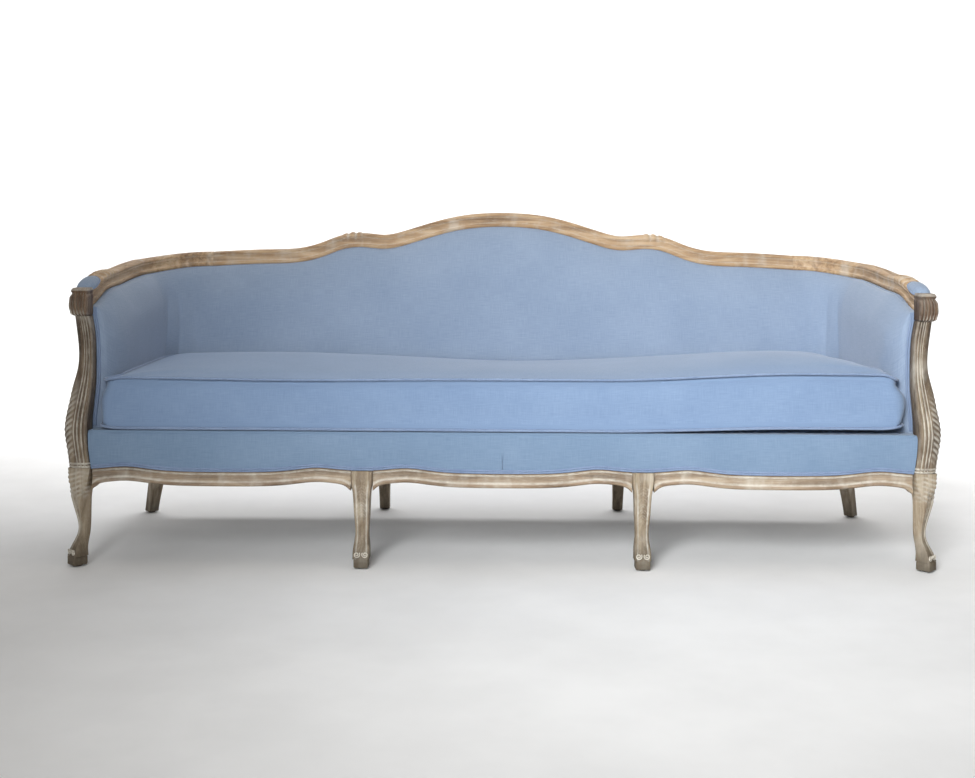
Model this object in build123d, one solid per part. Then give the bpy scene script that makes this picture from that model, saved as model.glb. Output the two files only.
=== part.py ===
from build123d import *
from collections import namedtuple
import math
import os

os.makedirs("parts", exist_ok=True)

# Driving dimensions, in millimetres. Z is up, the front faces -Y and X runs along the sofa.
SOFA_WIDTH = 2230  # over the leaf-carved bulges of the two arm posts
SOFA_DEPTH = 790  # from the front of the arm scrolls to the back of the crest
CREST_HEIGHT = 912  # top of the hump in the crest rail
BACK_RAKE = 8  # lean of the back, in degrees
SEAT_RAIL_TOP = 310
TIMBER_BOTTOM = 222
FIT = 0.3  # gap between neighbouring pieces that are not glued
GLUE_GAP = 0.05  # play of a dowel in its hole

# Wrap-round wall: centre line of the back, its two rear corners and the arms
CORNER_RADIUS = 188
POST_BULGE = 37  # reach of the leaf carving past the arm centre line
RAIL_HEIGHT = 45
RAIL_DEPTH = 50
ARM_SETBACK = 71  # front end of the arm upholstery behind the face of the legs
UPRIGHT_THICK = 28
INSIDE_FOAM = 62
COVER_THICK = 2.2
COVER_PLAY = 0.9  # room between a lofted cover and the foam or timber behind it
RAIL_PLAY = 4  # upholstery stops this far under the show-wood
CROWN_DROP = 95  # height over which the inside pad rolls back to the show-wood

# Show-wood front
SCROLL_REACH = 14  # overhang of the arm scroll past the face of the legs
CORNER_BLOCK = 62  # square head of a corner leg
MIDDLE_LEG_SHARE = 0.32  # place of a middle leg between the sofa's middle and its end
MIDDLE_BLOCK_WIDTH = 56
MIDDLE_BLOCK_DEPTH = 60
APRON_TOP = 249  # top of the moulding where it meets a leg
APRON_HEIGHT = 37
APRON_RISE = 7  # peak of the wave beside each leg
APRON_DIP = 6  # hollow of the wave in the middle of a bay
APRON_SETBACK = 4
BORDER_RECESS = 18
RAIL_THICK = 34
GLIDE_HEIGHT = 4

# Loose cushion
CUSHION_GAP = 2.6  # between the piping and the inside cover
PIPING_RADIUS = 3.5
CUSHION_RISE = 133  # height between the two seams
CUSHION_CROWN = 24
CUSHION_EDGE = 2
CUSHION_BELLY = 3
CUSHION_BACK_DRAW = 8  # hollow of the back boxing, room for the zip
COVER_WALL = 2.5
ZIP_LENGTH = 1500

# Derived places
RAKE = math.tan(math.radians(BACK_RAKE))
ARM_X = SOFA_WIDTH / 2 - POST_BULGE
CORNER_X = ARM_X - CORNER_RADIUS
FRONT_Y = -SOFA_DEPTH / 2 + SCROLL_REACH
ARM_FRONT_Y = FRONT_Y + ARM_SETBACK
CREST_BACK = 0.45 * RAIL_DEPTH
CREST_BACK_HEIGHT = CREST_HEIGHT - 0.15 * RAIL_HEIGHT
BACK_Y = SOFA_DEPTH / 2 - CREST_BACK - (CREST_BACK_HEIGHT - SEAT_RAIL_TOP) * RAKE
CORNER_Y = BACK_Y - CORNER_RADIUS
FOAM_BACK = -(UPRIGHT_THICK / 2 + 2.5)
FOAM_FACE = FOAM_BACK - INSIDE_FOAM
COVER_FACE = FOAM_FACE - COVER_PLAY - COVER_THICK
LEG_X = ARM_X - 7
MIDDLE_LEG_X = MIDDLE_LEG_SHARE * SOFA_WIDTH / 2
LEG_Y = FRONT_Y + CORNER_BLOCK / 2
MIDDLE_LEG_Y = FRONT_Y + MIDDLE_BLOCK_DEPTH / 2
RAIL_FRONT = FRONT_Y + APRON_SETBACK
RECESS_Y = FRONT_Y + BORDER_RECESS
RAIL_BACK = RECESS_Y + RAIL_THICK
SIDE_RAIL_TOP = SEAT_RAIL_TOP + 2
POST_FOOT = APRON_TOP + 2
DECK_FOAM_BOTTOM = SEAT_RAIL_TOP + 5.5
DECK_TOP = SEAT_RAIL_TOP + 38
SEAM_LOW = DECK_TOP + FIT + PIPING_RADIUS
SEAM_HIGH = SEAM_LOW + CUSHION_RISE
CUSHION_FRONT = FRONT_Y + 2 * PIPING_RADIUS + 2
CUSHION_INSET = CUSHION_GAP + 2 * PIPING_RADIUS - COVER_FACE  # from the wall's centre line
CUSHION_SIDE = ARM_X - CUSHION_INSET
CUSHION_BACK = BACK_Y + (SEAM_LOW - PIPING_RADIUS - SEAT_RAIL_TOP) * RAKE - CUSHION_INSET
EAR_X = ARM_X - 48
EAR_BACK = ARM_FRONT_Y - 2 - 2 * PIPING_RADIUS
SCROLL_BACK = ARM_FRONT_Y - 31


def save(name, shape):
    export_step(shape, f"parts/{name}.step")


def save_pair(name, shape):
    save(f"{name}_right", shape)
    save(f"{name}_left", mirror(shape, about=Plane.YZ))


def trace(place, steps):
    """Closed wire through steps (a, b) by lines, or (a, b, mid_a, mid_b) by arcs."""
    start = place(steps[0][0], steps[0][1])
    here = start
    edges = []
    for step in steps[1:]:
        there = place(step[0], step[1])
        if len(step) == 4:
            edges.append(ThreePointArc(here, place(step[2], step[3]), there))
        else:
            edges.append(Line(here, there))
        here = there
    edges.append(Line(here, start))
    return Wire(edges)


def height_on(curve, along):
    """Height of a curve drawn in (along, height) at a given place."""
    low, high = 0.0, 1.0
    rising = (curve @ 1).X > (curve @ 0).X
    for _ in range(40):
        middle = (low + high) / 2
        if ((curve @ middle).X < along) == rising:
            low = middle
        else:
            high = middle
    return (curve @ low).Y


def slope_on(curve, along):
    return (height_on(curve, along + 2) - height_on(curve, along - 2)) / 4


# Centre line of the crest in front view: shares of the way to the joint, and drops from the hump
CREST_LINE = CREST_HEIGHT - RAIL_HEIGHT / 2
CORNER_DROP = 126
ARM_DROP = 147
HALF_CREST = [
    (0, 0),
    (0.157, 12),
    (0.325, 54),
    (0.408, 70),
    (0.472, 66),
    (0.562, 74),
    (0.618, 93),
    (0.674, 108),
    (0.827, 118),
]
half_points = [(share * CORNER_X, CREST_LINE - drop) for share, drop in HALF_CREST]
half_points.append((CORNER_X, CREST_LINE - CORNER_DROP))
half_points.append((CORNER_X + 60, CREST_LINE - CORNER_DROP - 3))
crest_curve = Spline(*half_points, tangents=[(1, 0), (1, -0.05)])

# Centre line of an arm rail in side view, from the corner to the scroll
ARM_LINE = CREST_LINE - ARM_DROP
ARM_LENGTH = CORNER_Y - ARM_FRONT_Y
arm_points = [
    (CORNER_Y + 60, ARM_LINE + 4),
    (CORNER_Y, ARM_LINE),
    (CORNER_Y - 0.292 * ARM_LENGTH, ARM_LINE - 9),
    (CORNER_Y - 0.572 * ARM_LENGTH, ARM_LINE - 20),
    (CORNER_Y - 0.817 * ARM_LENGTH, ARM_LINE - 32),
    (CORNER_Y - 0.939 * ARM_LENGTH, ARM_LINE - 51),
    (ARM_FRONT_Y - 5, ARM_LINE - 60),
    (ARM_FRONT_Y - 60, ARM_LINE - 66),
]
arm_curve = Spline(*arm_points)

# A station is a place on the wall's centre line with its outward direction and its share of the rake
Station = namedtuple("Station", "x y nx ny rake rail slope")


def wall_place(station):
    def place(offset, height):
        lean = station.rake * (height - SEAT_RAIL_TOP) * RAKE
        return Vector(station.x + station.nx * offset, station.y + station.ny * offset + lean, height)

    return place


def back_station(x):
    rail = height_on(crest_curve, abs(x))
    return Station(x, BACK_Y, 0, 1, 1, rail, slope_on(crest_curve, max(abs(x), 3)))


def corner_station(degrees):
    turn = math.radians(degrees)
    blend = (1 - math.cos(2 * turn)) / 2
    rail = CREST_LINE - CORNER_DROP - blend * (ARM_DROP - CORNER_DROP)
    x = CORNER_X + CORNER_RADIUS * math.sin(turn)
    y = CORNER_Y + CORNER_RADIUS * math.cos(turn)
    return Station(x, y, math.sin(turn), math.cos(turn), 1, rail, 0)


def arm_station(y):
    share = max(0, (y - ARM_FRONT_Y) / (CORNER_Y - ARM_FRONT_Y))
    return Station(ARM_X, y, 1, 0, share, height_on(arm_curve, y), slope_on(arm_curve, y))


def wall_loft(stations, profile):
    return Solid.make_loft([trace(wall_place(station), profile(station)) for station in stations])


def rail_half(station):
    return RAIL_HEIGHT / 2 * math.sqrt(1 + station.slope**2)


def rail_profile(station):
    """Show-wood moulding: bead, cove and bead towards the seat, rounded top, flat back."""
    middle = station.rail
    half = rail_half(station)
    deep = RAIL_DEPTH / 2
    return [
        (-0.78 * deep, middle - half),
        (-0.84 * deep, middle - 0.48 * half, -deep, middle - 0.78 * half),
        (-0.84 * deep, middle + 0.4 * half, -0.68 * deep, middle),
        (-0.72 * deep, middle + 0.88 * half, -deep, middle + 0.7 * half),
        (0.9 * deep, middle + 0.7 * half, 0, middle + half),
        (0.9 * deep, middle - half),
    ]


def pad_top(station):
    return station.rail - rail_half(station) - RAIL_PLAY


def pad_front(station, out):
    """Face of the inside pad, moved out by a distance: upright, then rolled back to the show-wood."""
    top = pad_top(station)
    roll = top - CROWN_DROP
    lip = (-0.6 * RAIL_DEPTH - out, top, FOAM_FACE + 10 - out, roll + 0.62 * CROWN_DROP)
    return [(FOAM_FACE - out, DECK_FOAM_BOTTOM), (FOAM_FACE - out, roll), lip]


def foam_profile(station):
    return [(FOAM_BACK, DECK_FOAM_BOTTOM)] + pad_front(station, 0) + [(FOAM_BACK, pad_top(station))]


def cover_profile(station):
    low, roll, lip = pad_front(station, COVER_PLAY)
    far_steps = pad_front(station, COVER_PLAY + COVER_THICK)
    return [low] + far_steps + [(lip[0], lip[1]), (roll[0], roll[1], lip[2], lip[3])]


def outside_profile(station):
    near = UPRIGHT_THICK / 2 + COVER_PLAY
    far = near + COVER_THICK
    low = SEAT_RAIL_TOP + 3
    return [(near, low), (far, low), (far, pad_top(station)), (near, pad_top(station))]


back_stations = [back_station(CORNER_X * step / 12) for step in range(-12, 13)]
corner_stations = [corner_station(18 * step) for step in range(6)]


def arm_run(end):
    """Even stations round the corner and along the arm to its front end."""
    return corner_stations + [arm_station(CORNER_Y + (end - CORNER_Y) * step / 7) for step in range(1, 8)]


rail_stations = arm_run(SCROLL_BACK + FIT)
side_stations = arm_run(ARM_FRONT_Y)
arm_tip = rail_stations[-1]

crest_rail = wall_loft(back_stations, rail_profile)
arm_rail = wall_loft(rail_stations, rail_profile)
inside_foam_back = wall_loft(back_stations, foam_profile)
inside_foam_arm = wall_loft(side_stations, foam_profile)
inside_cover_back = wall_loft(back_stations, cover_profile)
inside_cover_arm = wall_loft(side_stations, cover_profile)
outside_cover_back = wall_loft(back_stations, outside_profile)
outside_cover_arm = wall_loft(side_stations, outside_profile)


def plan_band(outer, inner, first, last):
    """Plan of a strip that follows one rear corner between two angles, at seat level."""
    centre = (CORNER_X, CORNER_Y)
    far = CenterArc(centre, CORNER_RADIUS + outer, 90 - last, last - first)
    near = CenterArc(centre, CORNER_RADIUS + inner, 90 - last, last - first)
    return make_face([far, near, Line(far @ 0, near @ 0), Line(far @ 1, near @ 1)])


def between(x0, x1, y0, y1, z0, z1):
    return Pos((x0 + x1) / 2, (y0 + y1) / 2, (z0 + z1) / 2) * Box(abs(x1 - x0), abs(y1 - y0), abs(z1 - z0))


# Seat rails at the sides and the back
STILE = 46
HEEL = 46  # a rear foot stands this far behind its stile
half_rail = RAIL_THICK / 2
side_run = between(
    ARM_X - half_rail,
    ARM_X + half_rail,
    LEG_Y + CORNER_BLOCK / 2,
    CORNER_Y,
    TIMBER_BOTTOM,
    SIDE_RAIL_TOP,
)


def rail_bend(first, last, top):
    plan = Pos(0, 0, TIMBER_BOTTOM) * plan_band(half_rail, -half_rail, first, last)
    return extrude(plan, top - TIMBER_BOTTOM)


side_bend = rail_bend(45, 90, SIDE_RAIL_TOP)
rear_bend = rail_bend(0, 45, SEAT_RAIL_TOP)
rear_run = between(
    MIDDLE_LEG_X,
    CORNER_X,
    BACK_Y - half_rail,
    BACK_Y + half_rail,
    TIMBER_BOTTOM,
    SEAT_RAIL_TOP,
)
rear_rail_centre = between(
    STILE / 2 - MIDDLE_LEG_X,
    MIDDLE_LEG_X - STILE / 2,
    BACK_Y - half_rail,
    BACK_Y + half_rail,
    TIMBER_BOTTOM,
    SEAT_RAIL_TOP,
)

# Lower tacking rails of the back and the arms
TACK_LOW = SEAT_RAIL_TOP + 42
TACK_HEIGHT = 30
TACK_THICK = UPRIGHT_THICK - 5


def tacking_bend(first, last):
    lean = (TACK_LOW + TACK_HEIGHT / 2 - SEAT_RAIL_TOP) * RAKE
    plan = plan_band(TACK_THICK / 2, -TACK_THICK / 2, first, last)
    return Pos(0, lean, TACK_LOW) * extrude(plan, TACK_HEIGHT)


def tacking_run(x0, x1):
    y = BACK_Y + (TACK_LOW + TACK_HEIGHT / 2 - SEAT_RAIL_TOP) * RAKE
    return between(x0, x1, y - TACK_THICK / 2, y + TACK_THICK / 2, TACK_LOW, TACK_LOW + TACK_HEIGHT)


tack_end_y = CORNER_Y + (TACK_LOW + TACK_HEIGHT / 2 - SEAT_RAIL_TOP) * RAKE
lower_rail_centre = tacking_run(STILE / 2 - MIDDLE_LEG_X, MIDDLE_LEG_X - STILE / 2)
lower_rail_side = tacking_run(MIDDLE_LEG_X, CORNER_X) + tacking_bend(0, 45)
tack_x0 = ARM_X - TACK_THICK / 2
tack_x1 = ARM_X + TACK_THICK / 2
arm_tack = between(tack_x0, tack_x1, ARM_FRONT_Y - 60, tack_end_y, TACK_LOW, TACK_LOW + TACK_HEIGHT)
lower_rail_arm = arm_tack + tacking_bend(45, 90)


def stile(station, top):
    """Rear leg and back upright in one timber, square to the wall at its station."""

    def square(height, shift, lean, across, deep):
        along = Vector(station.ny, -station.nx, 0)
        out = Vector(station.nx, station.ny, 0)
        middle = Vector(station.x, station.y + lean, height) + out * shift
        plane = Plane(middle, x_dir=along, z_dir=(0, 0, 1))
        return (plane * RectangleRounded(across, deep, 3)).wire()

    leg = Solid.make_loft(
        [
            square(GLIDE_HEIGHT, HEEL, 0, 30, 30),
            square(70, 29, 0, 33, 33),
            square(150, 8, 0, 40, 40),
            square(TIMBER_BOTTOM, 0, 0, STILE, STILE),
        ]
    )
    head = Solid.make_loft(
        [square(TIMBER_BOTTOM, 0, 0, STILE, STILE), square(SEAT_RAIL_TOP, 0, 0, STILE, STILE)], ruled=True
    )
    upright = Solid.make_loft(
        [
            square(SEAT_RAIL_TOP, 0, 0, STILE, UPRIGHT_THICK - 3 * station.nx),
            square(top, 0, (top - SEAT_RAIL_TOP) * RAKE, STILE, UPRIGHT_THICK - 3 * station.nx),
        ],
        ruled=True,
    )
    return Part() + leg + head + upright


middle_seat = back_station(MIDDLE_LEG_X)
corner_seat = corner_station(45)
over_middle = [back_station(MIDDLE_LEG_X + STILE * step / 12).rail for step in range(-6, 7)]
over_corner = [corner_station(turn).rail for turn in (38, 45, 52)]
stile_drop = RAIL_HEIGHT / 2 + 2 * FIT
rear_middle_stile = stile(middle_seat, min(over_middle) - stile_drop)
rear_corner_stile = stile(corner_seat, min(over_corner) - stile_drop)
lower_rail_side = lower_rail_side - rear_middle_stile - rear_corner_stile
lower_rail_arm = lower_rail_arm - rear_corner_stile
rear_rail_side = rear_run + rear_bend - rear_middle_stile - rear_corner_stile
side_rail = side_run + side_bend - rear_corner_stile


# Cabriole legs of the front: height, reach outwards, width and depth of each section
MIDDLE_LEG_SHAPE = [
    (26, 11, 43, 44),
    (46, 6, 42, 42),
    (78, -7, 35, 33),
    (124, -5, 39, 37),
    (180, 3, 45, 46),
    (212, 4, 49, 50),
    (234, 3, 53, 56),
    (POST_FOOT, 1, 55, 58),
]
CORNER_LEG_SHAPE = [
    (26, 11, 39, 41),
    (46, 7, 33, 34),
    (78, -5, 25, 25),
    (124, -5, 29, 29),
    (180, 3, 41, 41),
    (212, 4, 45, 45),
    (POST_FOOT, 1, 45, 45),
]


def leg_section(height, reach, width, depth):
    """Hollowed face between two edge beads, flat sides and back."""
    half = width / 2
    front = -reach - depth / 2
    back = -reach + depth / 2
    bead = 0.14 * width

    def place(x, y):
        return Vector(x, y, height)

    return trace(
        place,
        [
            (-half, front + bead),
            (bead - half, front + 0.25 * bead, 0.25 * bead - half, front + 0.2 * bead),
            (half - bead, front + 0.25 * bead, 0, front + 0.8 * bead),
            (half, front + bead, half - 0.25 * bead, front + 0.2 * bead),
            (half, back),
            (-half, back),
        ],
    )


VOLUTE_RADIUS = 9.5
FOOT_TOP = 27
FOOT_REACH = 12  # centre of the foot in front of the leg's axis
HEAD_LOW = 196  # underside of the square head of a corner leg


def cabriole(shape):
    """Leg that faces -Y, with its foot scrolls and square pad; the head is added by the caller."""
    shaft = Solid.make_loft([leg_section(*row) for row in shape])
    pad = Pos(0, -FOOT_REACH, (GLIDE_HEIGHT + FOOT_TOP) / 2) * Box(38, 40, FOOT_TOP - GLIDE_HEIGHT)
    pad = chamfer(pad.edges().group_by(Axis.Z)[0], 2)
    leg = Part() + shaft + pad
    for side in (-1, 1):
        eye = Plane((side * 11.5, -31.5, 38), x_dir=(1, 0, 0), z_dir=(0, -1, 0))
        leg += eye * Pos(0, 0, -6) * Cylinder(VOLUTE_RADIUS, 14)
        leg -= eye * Pos(0, 0, 2) * (Cylinder(7, 4) - Cylinder(4, 4))
    return leg


corner_head = Pos(0, 0, (HEAD_LOW + POST_FOOT) / 2) * Box(CORNER_BLOCK, CORNER_BLOCK, POST_FOOT - HEAD_LOW)
corner_head = chamfer(corner_head.edges().group_by(Axis.Z)[0], 12)
corner_head = fillet(corner_head.edges().filter_by(Axis.Z), 9)
front_corner_leg = Pos(LEG_X, LEG_Y, 0) * (Rot(0, 0, 45) * cabriole(CORNER_LEG_SHAPE) + corner_head)

middle_head = between(
    -MIDDLE_BLOCK_WIDTH / 2,
    MIDDLE_BLOCK_WIDTH / 2,
    RECESS_Y - MIDDLE_LEG_Y,
    MIDDLE_BLOCK_DEPTH / 2,
    POST_FOOT - 40,
    SEAT_RAIL_TOP,
)
front_middle_leg = Pos(MIDDLE_LEG_X, MIDDLE_LEG_Y, 0) * (cabriole(MIDDLE_LEG_SHAPE) + middle_head)


# Front rails: one timber per bay, moulded and waved along its lower front
def apron_height(share):
    """Top of the moulding at a share of the bay: low at the leg, a peak, then a long hollow."""
    near = min(share, 1 - share)
    peak = math.exp(-(((near - 0.13) / 0.09) ** 2))
    hollow = 1 / (1 + math.exp(-(near - 0.27) / 0.045))
    return APRON_TOP + APRON_RISE * peak - APRON_DIP * hollow


def apron_profile(top):
    low = top - APRON_HEIGHT
    return [
        (RAIL_BACK, TIMBER_BOTTOM),
        (RAIL_BACK, SEAT_RAIL_TOP),
        (RECESS_Y, SEAT_RAIL_TOP),
        (RECESS_Y, top),
        (RAIL_FRONT + 4, top),
        (RAIL_FRONT, top - 4, RAIL_FRONT + 1.2, top - 1.2),
        (RAIL_FRONT, low + 14, RAIL_FRONT + 4.5, top - 13),
        (RAIL_FRONT + 3.5, low + 12),
        (RAIL_FRONT + 3.5, low, RAIL_FRONT - 2, low + 6),
        (RAIL_FRONT + 16, low),
        (RECESS_Y + 8, TIMBER_BOTTOM),
    ]


def front_rail(x0, x1):
    wires = []
    for step in range(17):
        share = step / 16
        x = x0 + (x1 - x0) * share
        wires.append(trace(lambda y, z, x=x: Vector(x, y, z), apron_profile(apron_height(share))))
    return Solid.make_loft(wires)


bay_end = MIDDLE_LEG_X - MIDDLE_BLOCK_WIDTH / 2
bay_start = MIDDLE_LEG_X + MIDDLE_BLOCK_WIDTH / 2
bay_far = LEG_X - CORNER_BLOCK / 2
front_rail_centre = front_rail(-bay_end, bay_end)
front_rail_side = front_rail(bay_start, bay_far)

cross_rail = between(
    MIDDLE_LEG_X - half_rail,
    MIDDLE_LEG_X + half_rail,
    FRONT_Y + MIDDLE_BLOCK_DEPTH,
    BACK_Y - STILE / 2,
    TIMBER_BOTTOM + 16,
    SEAT_RAIL_TOP - 10,
)

# Arm posts: share of the rise, inner and outer edge from the arm line, front edge from the leg face
POST_RISE = ARM_LINE - 106.5 - POST_FOOT
POST_SHAPE = [
    (0, -33, 23, 0),
    (0.125, -27, 31, -2),
    (0.255, -24, POST_BULGE, -3),
    (0.397, -28, 30, 2),
    (0.53, -34, 19, 8),
    (0.66, -36, 6, 12),
    (0.79, -36, 4, 12),
    (0.909, -33, 9, 8),
    (1, -26, 16, 4),
]
# Scrolls: height above the post, then the same edges
SCROLL_SHAPE = [
    (FIT, -26, 16, 4),
    (19, -26, 26, -8),
    (45, -26, 29, -SCROLL_REACH),
    (63, -24, 26, -12),
    (71, -20, 20, -6),
]
POST_BACK = ARM_FRONT_Y - 12
POST_LEAN = 20  # the back of the post leans forward by this much


def reeded_section(height, inner, outer, front, back):
    """Three reeds on the front, a leaf-shaped bulge on the outer side, flat back and inner side."""
    x0 = ARM_X + inner
    x1 = ARM_X + outer
    y0 = FRONT_Y + front
    reed = 0.64 * (x1 - x0) / 3
    groove = y0 + 3

    def place(x, y):
        return Vector(x, y, POST_FOOT + height)

    return trace(
        place,
        [
            (x0, back),
            (x0, groove),
            (x0 + reed, groove, x0 + reed / 2, y0),
            (x0 + 2 * reed, groove, x0 + 1.5 * reed, y0),
            (x0 + 3 * reed, groove, x0 + 2.5 * reed, y0),
            (x1 - 4, back, x1 - 1.5, (groove + back) / 2 - 4),
        ],
    )


def post_section(share, inner, outer, front):
    back = POST_BACK - POST_LEAN * min(1, 1.1 * share)
    return reeded_section(share * POST_RISE, inner, outer, front, back)


def scroll_section(height, inner, outer, front):
    return reeded_section(POST_RISE + height, inner, outer, front, SCROLL_BACK)


arm_post = Part() + Solid.make_loft([post_section(*row) for row in POST_SHAPE])
ring_x = ARM_X + (POST_SHAPE[0][1] + POST_SHAPE[0][2]) / 2
ring_y = (FRONT_Y + POST_BACK) / 2
ring_plan = RectangleRounded(POST_SHAPE[0][2] - POST_SHAPE[0][1] + 4, POST_BACK - FRONT_Y + 4, 8)
for level in (1.5, 9):
    ring = Pos(ring_x, ring_y, POST_FOOT + level) * extrude(ring_plan, 5.5)
    arm_post += fillet(ring.edges().group_by(Axis.Z)[0] + ring.edges().group_by(Axis.Z)[-1], 2)
arm_scroll = Part() + Solid.make_loft([scroll_section(*row) for row in SCROLL_SHAPE])
post_room = between(0, SOFA_WIDTH, -SOFA_DEPTH, POST_BACK - 3, 0, CREST_HEIGHT)
lower_rail_arm = lower_rail_arm - arm_post - post_room

# Arm pads: a domed block that fills the dip of the arm rail behind the scroll
PAD_WIDTH = 50
PAD_LENGTH = 92
PAD_REST = 0.1  # the pad's bed clears the highest point of the rail by this much
pad_y = SCROLL_BACK + FIT + PAD_LENGTH / 2
pad_crown = ARM_LINE - 14
arm_pad = Pos(ARM_X, pad_y, pad_crown - 30) * Box(PAD_WIDTH, PAD_LENGTH, 60)
arm_pad = fillet(arm_pad.edges().filter_by(Axis.Z), 14)
arm_pad = fillet(arm_pad.edges().group_by(Axis.Z)[-1], 12)
rail_top_front = arm_tip.rail + RAIL_HEIGHT / 2
rail_top_back = arm_station(pad_y + PAD_LENGTH / 2).rail + RAIL_HEIGHT / 2
pad_slope = math.degrees(math.atan2(rail_top_back - rail_top_front, PAD_LENGTH))
bed_tops = []
for step in range(-8, 9):
    along = step / 16 * PAD_LENGTH
    seat = arm_station(pad_y + along)
    bed_tops.append(seat.rail + rail_half(seat) - along * math.tan(math.radians(pad_slope)))
pad_bed = Pos(ARM_X, pad_y, max(bed_tops) + PAD_REST) * Rot(pad_slope, 0, 0)
arm_pad = arm_pad - pad_bed * Pos(0, 0, -60) * Box(2 * PAD_WIDTH, 2 * PAD_LENGTH, 120)

# Dowels: middle point, direction and length of each, with the same holes in the two timbers it joins
DOWEL_RADIUS = 5
DOWEL_LENGTH = 56
seat_dowels = []
arm_dowels = []
crest_dowels = []


def add_dowels(group, point, direction, *heights):
    for height in heights:
        group.append((Vector(point[0], point[1], height), Vector(*direction)))


rail_mid_y = (RECESS_Y + RAIL_BACK) / 2
for x in (bay_end, bay_start):
    add_dowels(seat_dowels, (x, rail_mid_y), (1, 0, 0), 252, 288)
add_dowels(seat_dowels, (bay_far, rail_mid_y), (1, 0, 0), 236, 288)
add_dowels(seat_dowels, (ARM_X - 9, LEG_Y + CORNER_BLOCK / 2), (0, 1, 0), TIMBER_BOTTOM + 14)
for x in (MIDDLE_LEG_X - STILE / 2, MIDDLE_LEG_X + STILE / 2):
    add_dowels(seat_dowels, (x, BACK_Y), (1, 0, 0), 248, 288)
tangent = Vector(corner_seat.ny, -corner_seat.nx, 0)
for side in (-1, 1):
    end = Vector(corner_seat.x, corner_seat.y, 0) + tangent * (side * STILE / 2)
    add_dowels(seat_dowels, (end.X, end.Y), (tangent.X, tangent.Y, 0), 248, 288)
add_dowels(seat_dowels, (MIDDLE_LEG_X, FRONT_Y + MIDDLE_BLOCK_DEPTH), (0, 1, 0), 255, 282)
add_dowels(seat_dowels, (MIDDLE_LEG_X, BACK_Y - STILE / 2), (0, 1, 0), 255, 282)
joint = back_station(CORNER_X)
joint_y = BACK_Y + (joint.rail - SEAT_RAIL_TOP) * RAKE
add_dowels(crest_dowels, (CORNER_X, joint_y), (1, 0, 0), joint.rail - 8, joint.rail + 8)
add_dowels(arm_dowels, (ARM_X + 4, (FRONT_Y + POST_BACK) / 2), (0, 0, 1), POST_FOOT)
add_dowels(arm_dowels, (ARM_X - 5, (FRONT_Y + SCROLL_BACK) / 2 + 4), (0, 0, 1), POST_FOOT + POST_RISE)
add_dowels(arm_dowels, (ARM_X, SCROLL_BACK), (0, 1, 0), arm_tip.rail)
for seat in (middle_seat, corner_seat):
    lean = (seat.rail - SEAT_RAIL_TOP) * RAKE - 3
    add_dowels(crest_dowels, (seat.x, seat.y + lean), (0, RAKE, 1), seat.rail - RAIL_HEIGHT / 2 - 10)


def pin(place, radius, length):
    point, direction = place
    return Plane(point, z_dir=direction) * Cylinder(radius, length)


def pins(group, radius, length):
    right = [pin(place, radius, length) for place in group]
    return right + [mirror(dowel, about=Plane.YZ) for dowel in right]


holes = pins(seat_dowels + arm_dowels + crest_dowels, DOWEL_RADIUS + GLUE_GAP, DOWEL_LENGTH + 4)


def drilled(piece):
    box = piece.bounding_box()
    for hole in holes:
        span = hole.bounding_box()
        apart = span.min.X > box.max.X or span.max.X < box.min.X or span.min.Y > box.max.Y
        apart = apart or span.max.Y < box.min.Y or span.min.Z > box.max.Z or span.max.Z < box.min.Z
        if not apart:
            piece = piece - hole
    return piece


# Corner blocks between the cross rails or side rails and the legs, each held by one screw
BLOCK_LEG = 72
BLOCK_LOW = TIMBER_BOTTOM + 24
BLOCK_HIGH = SEAT_RAIL_TOP - 24
SCREW_RADIUS = 2.5
SCREW_LENGTH = 58


def corner_block(x, y, along_x, along_y):
    plan = make_face(Polyline((x, y), (x + along_x * BLOCK_LEG, y), (x, y + along_y * BLOCK_LEG), close=True))
    return Pos(0, 0, BLOCK_LOW) * extrude(plan, BLOCK_HIGH - BLOCK_LOW)


def block_screw(place, play):
    """Screw from the long face of a block through the corner where its two timbers meet."""
    x, y, along_x, along_y = place
    face = Vector(x + along_x * BLOCK_LEG / 2, y + along_y * BLOCK_LEG / 2, (BLOCK_LOW + BLOCK_HIGH) / 2)
    seat = Plane(face, z_dir=(-along_x, -along_y, 0))
    shank = seat * Pos(0, 0, SCREW_LENGTH / 2) * Cylinder(SCREW_RADIUS + play, SCREW_LENGTH + 2 * play)
    head = seat * Pos(0, 0, 1.5) * Cylinder(2 * SCREW_RADIUS + play, 3 + 2 * play)
    return shank + head


cross_face = half_rail + FIT
block_front = FRONT_Y + MIDDLE_BLOCK_DEPTH + FIT
block_rear = BACK_Y - STILE / 2 - FIT
block_places = [
    (MIDDLE_LEG_X + cross_face, block_front, 1, 1),
    (MIDDLE_LEG_X - cross_face, block_front, -1, 1),
    (MIDDLE_LEG_X + cross_face, block_rear, 1, -1),
    (MIDDLE_LEG_X - cross_face, block_rear, -1, -1),
    (ARM_X - cross_face, LEG_Y + CORNER_BLOCK / 2 + FIT, -1, 1),
]
right_screws = [block_screw(place, 0) for place in block_places]
left_screws = [mirror(screw, about=Plane.YZ) for screw in right_screws]
screw_holes = [block_screw(place, GLUE_GAP) for place in block_places]
right_blocks = [corner_block(*place) - hole for place, hole in zip(block_places, screw_holes)]
left_blocks = [mirror(block, about=Plane.YZ) for block in right_blocks]
holes += screw_holes + [mirror(hole, about=Plane.YZ) for hole in screw_holes]

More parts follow.
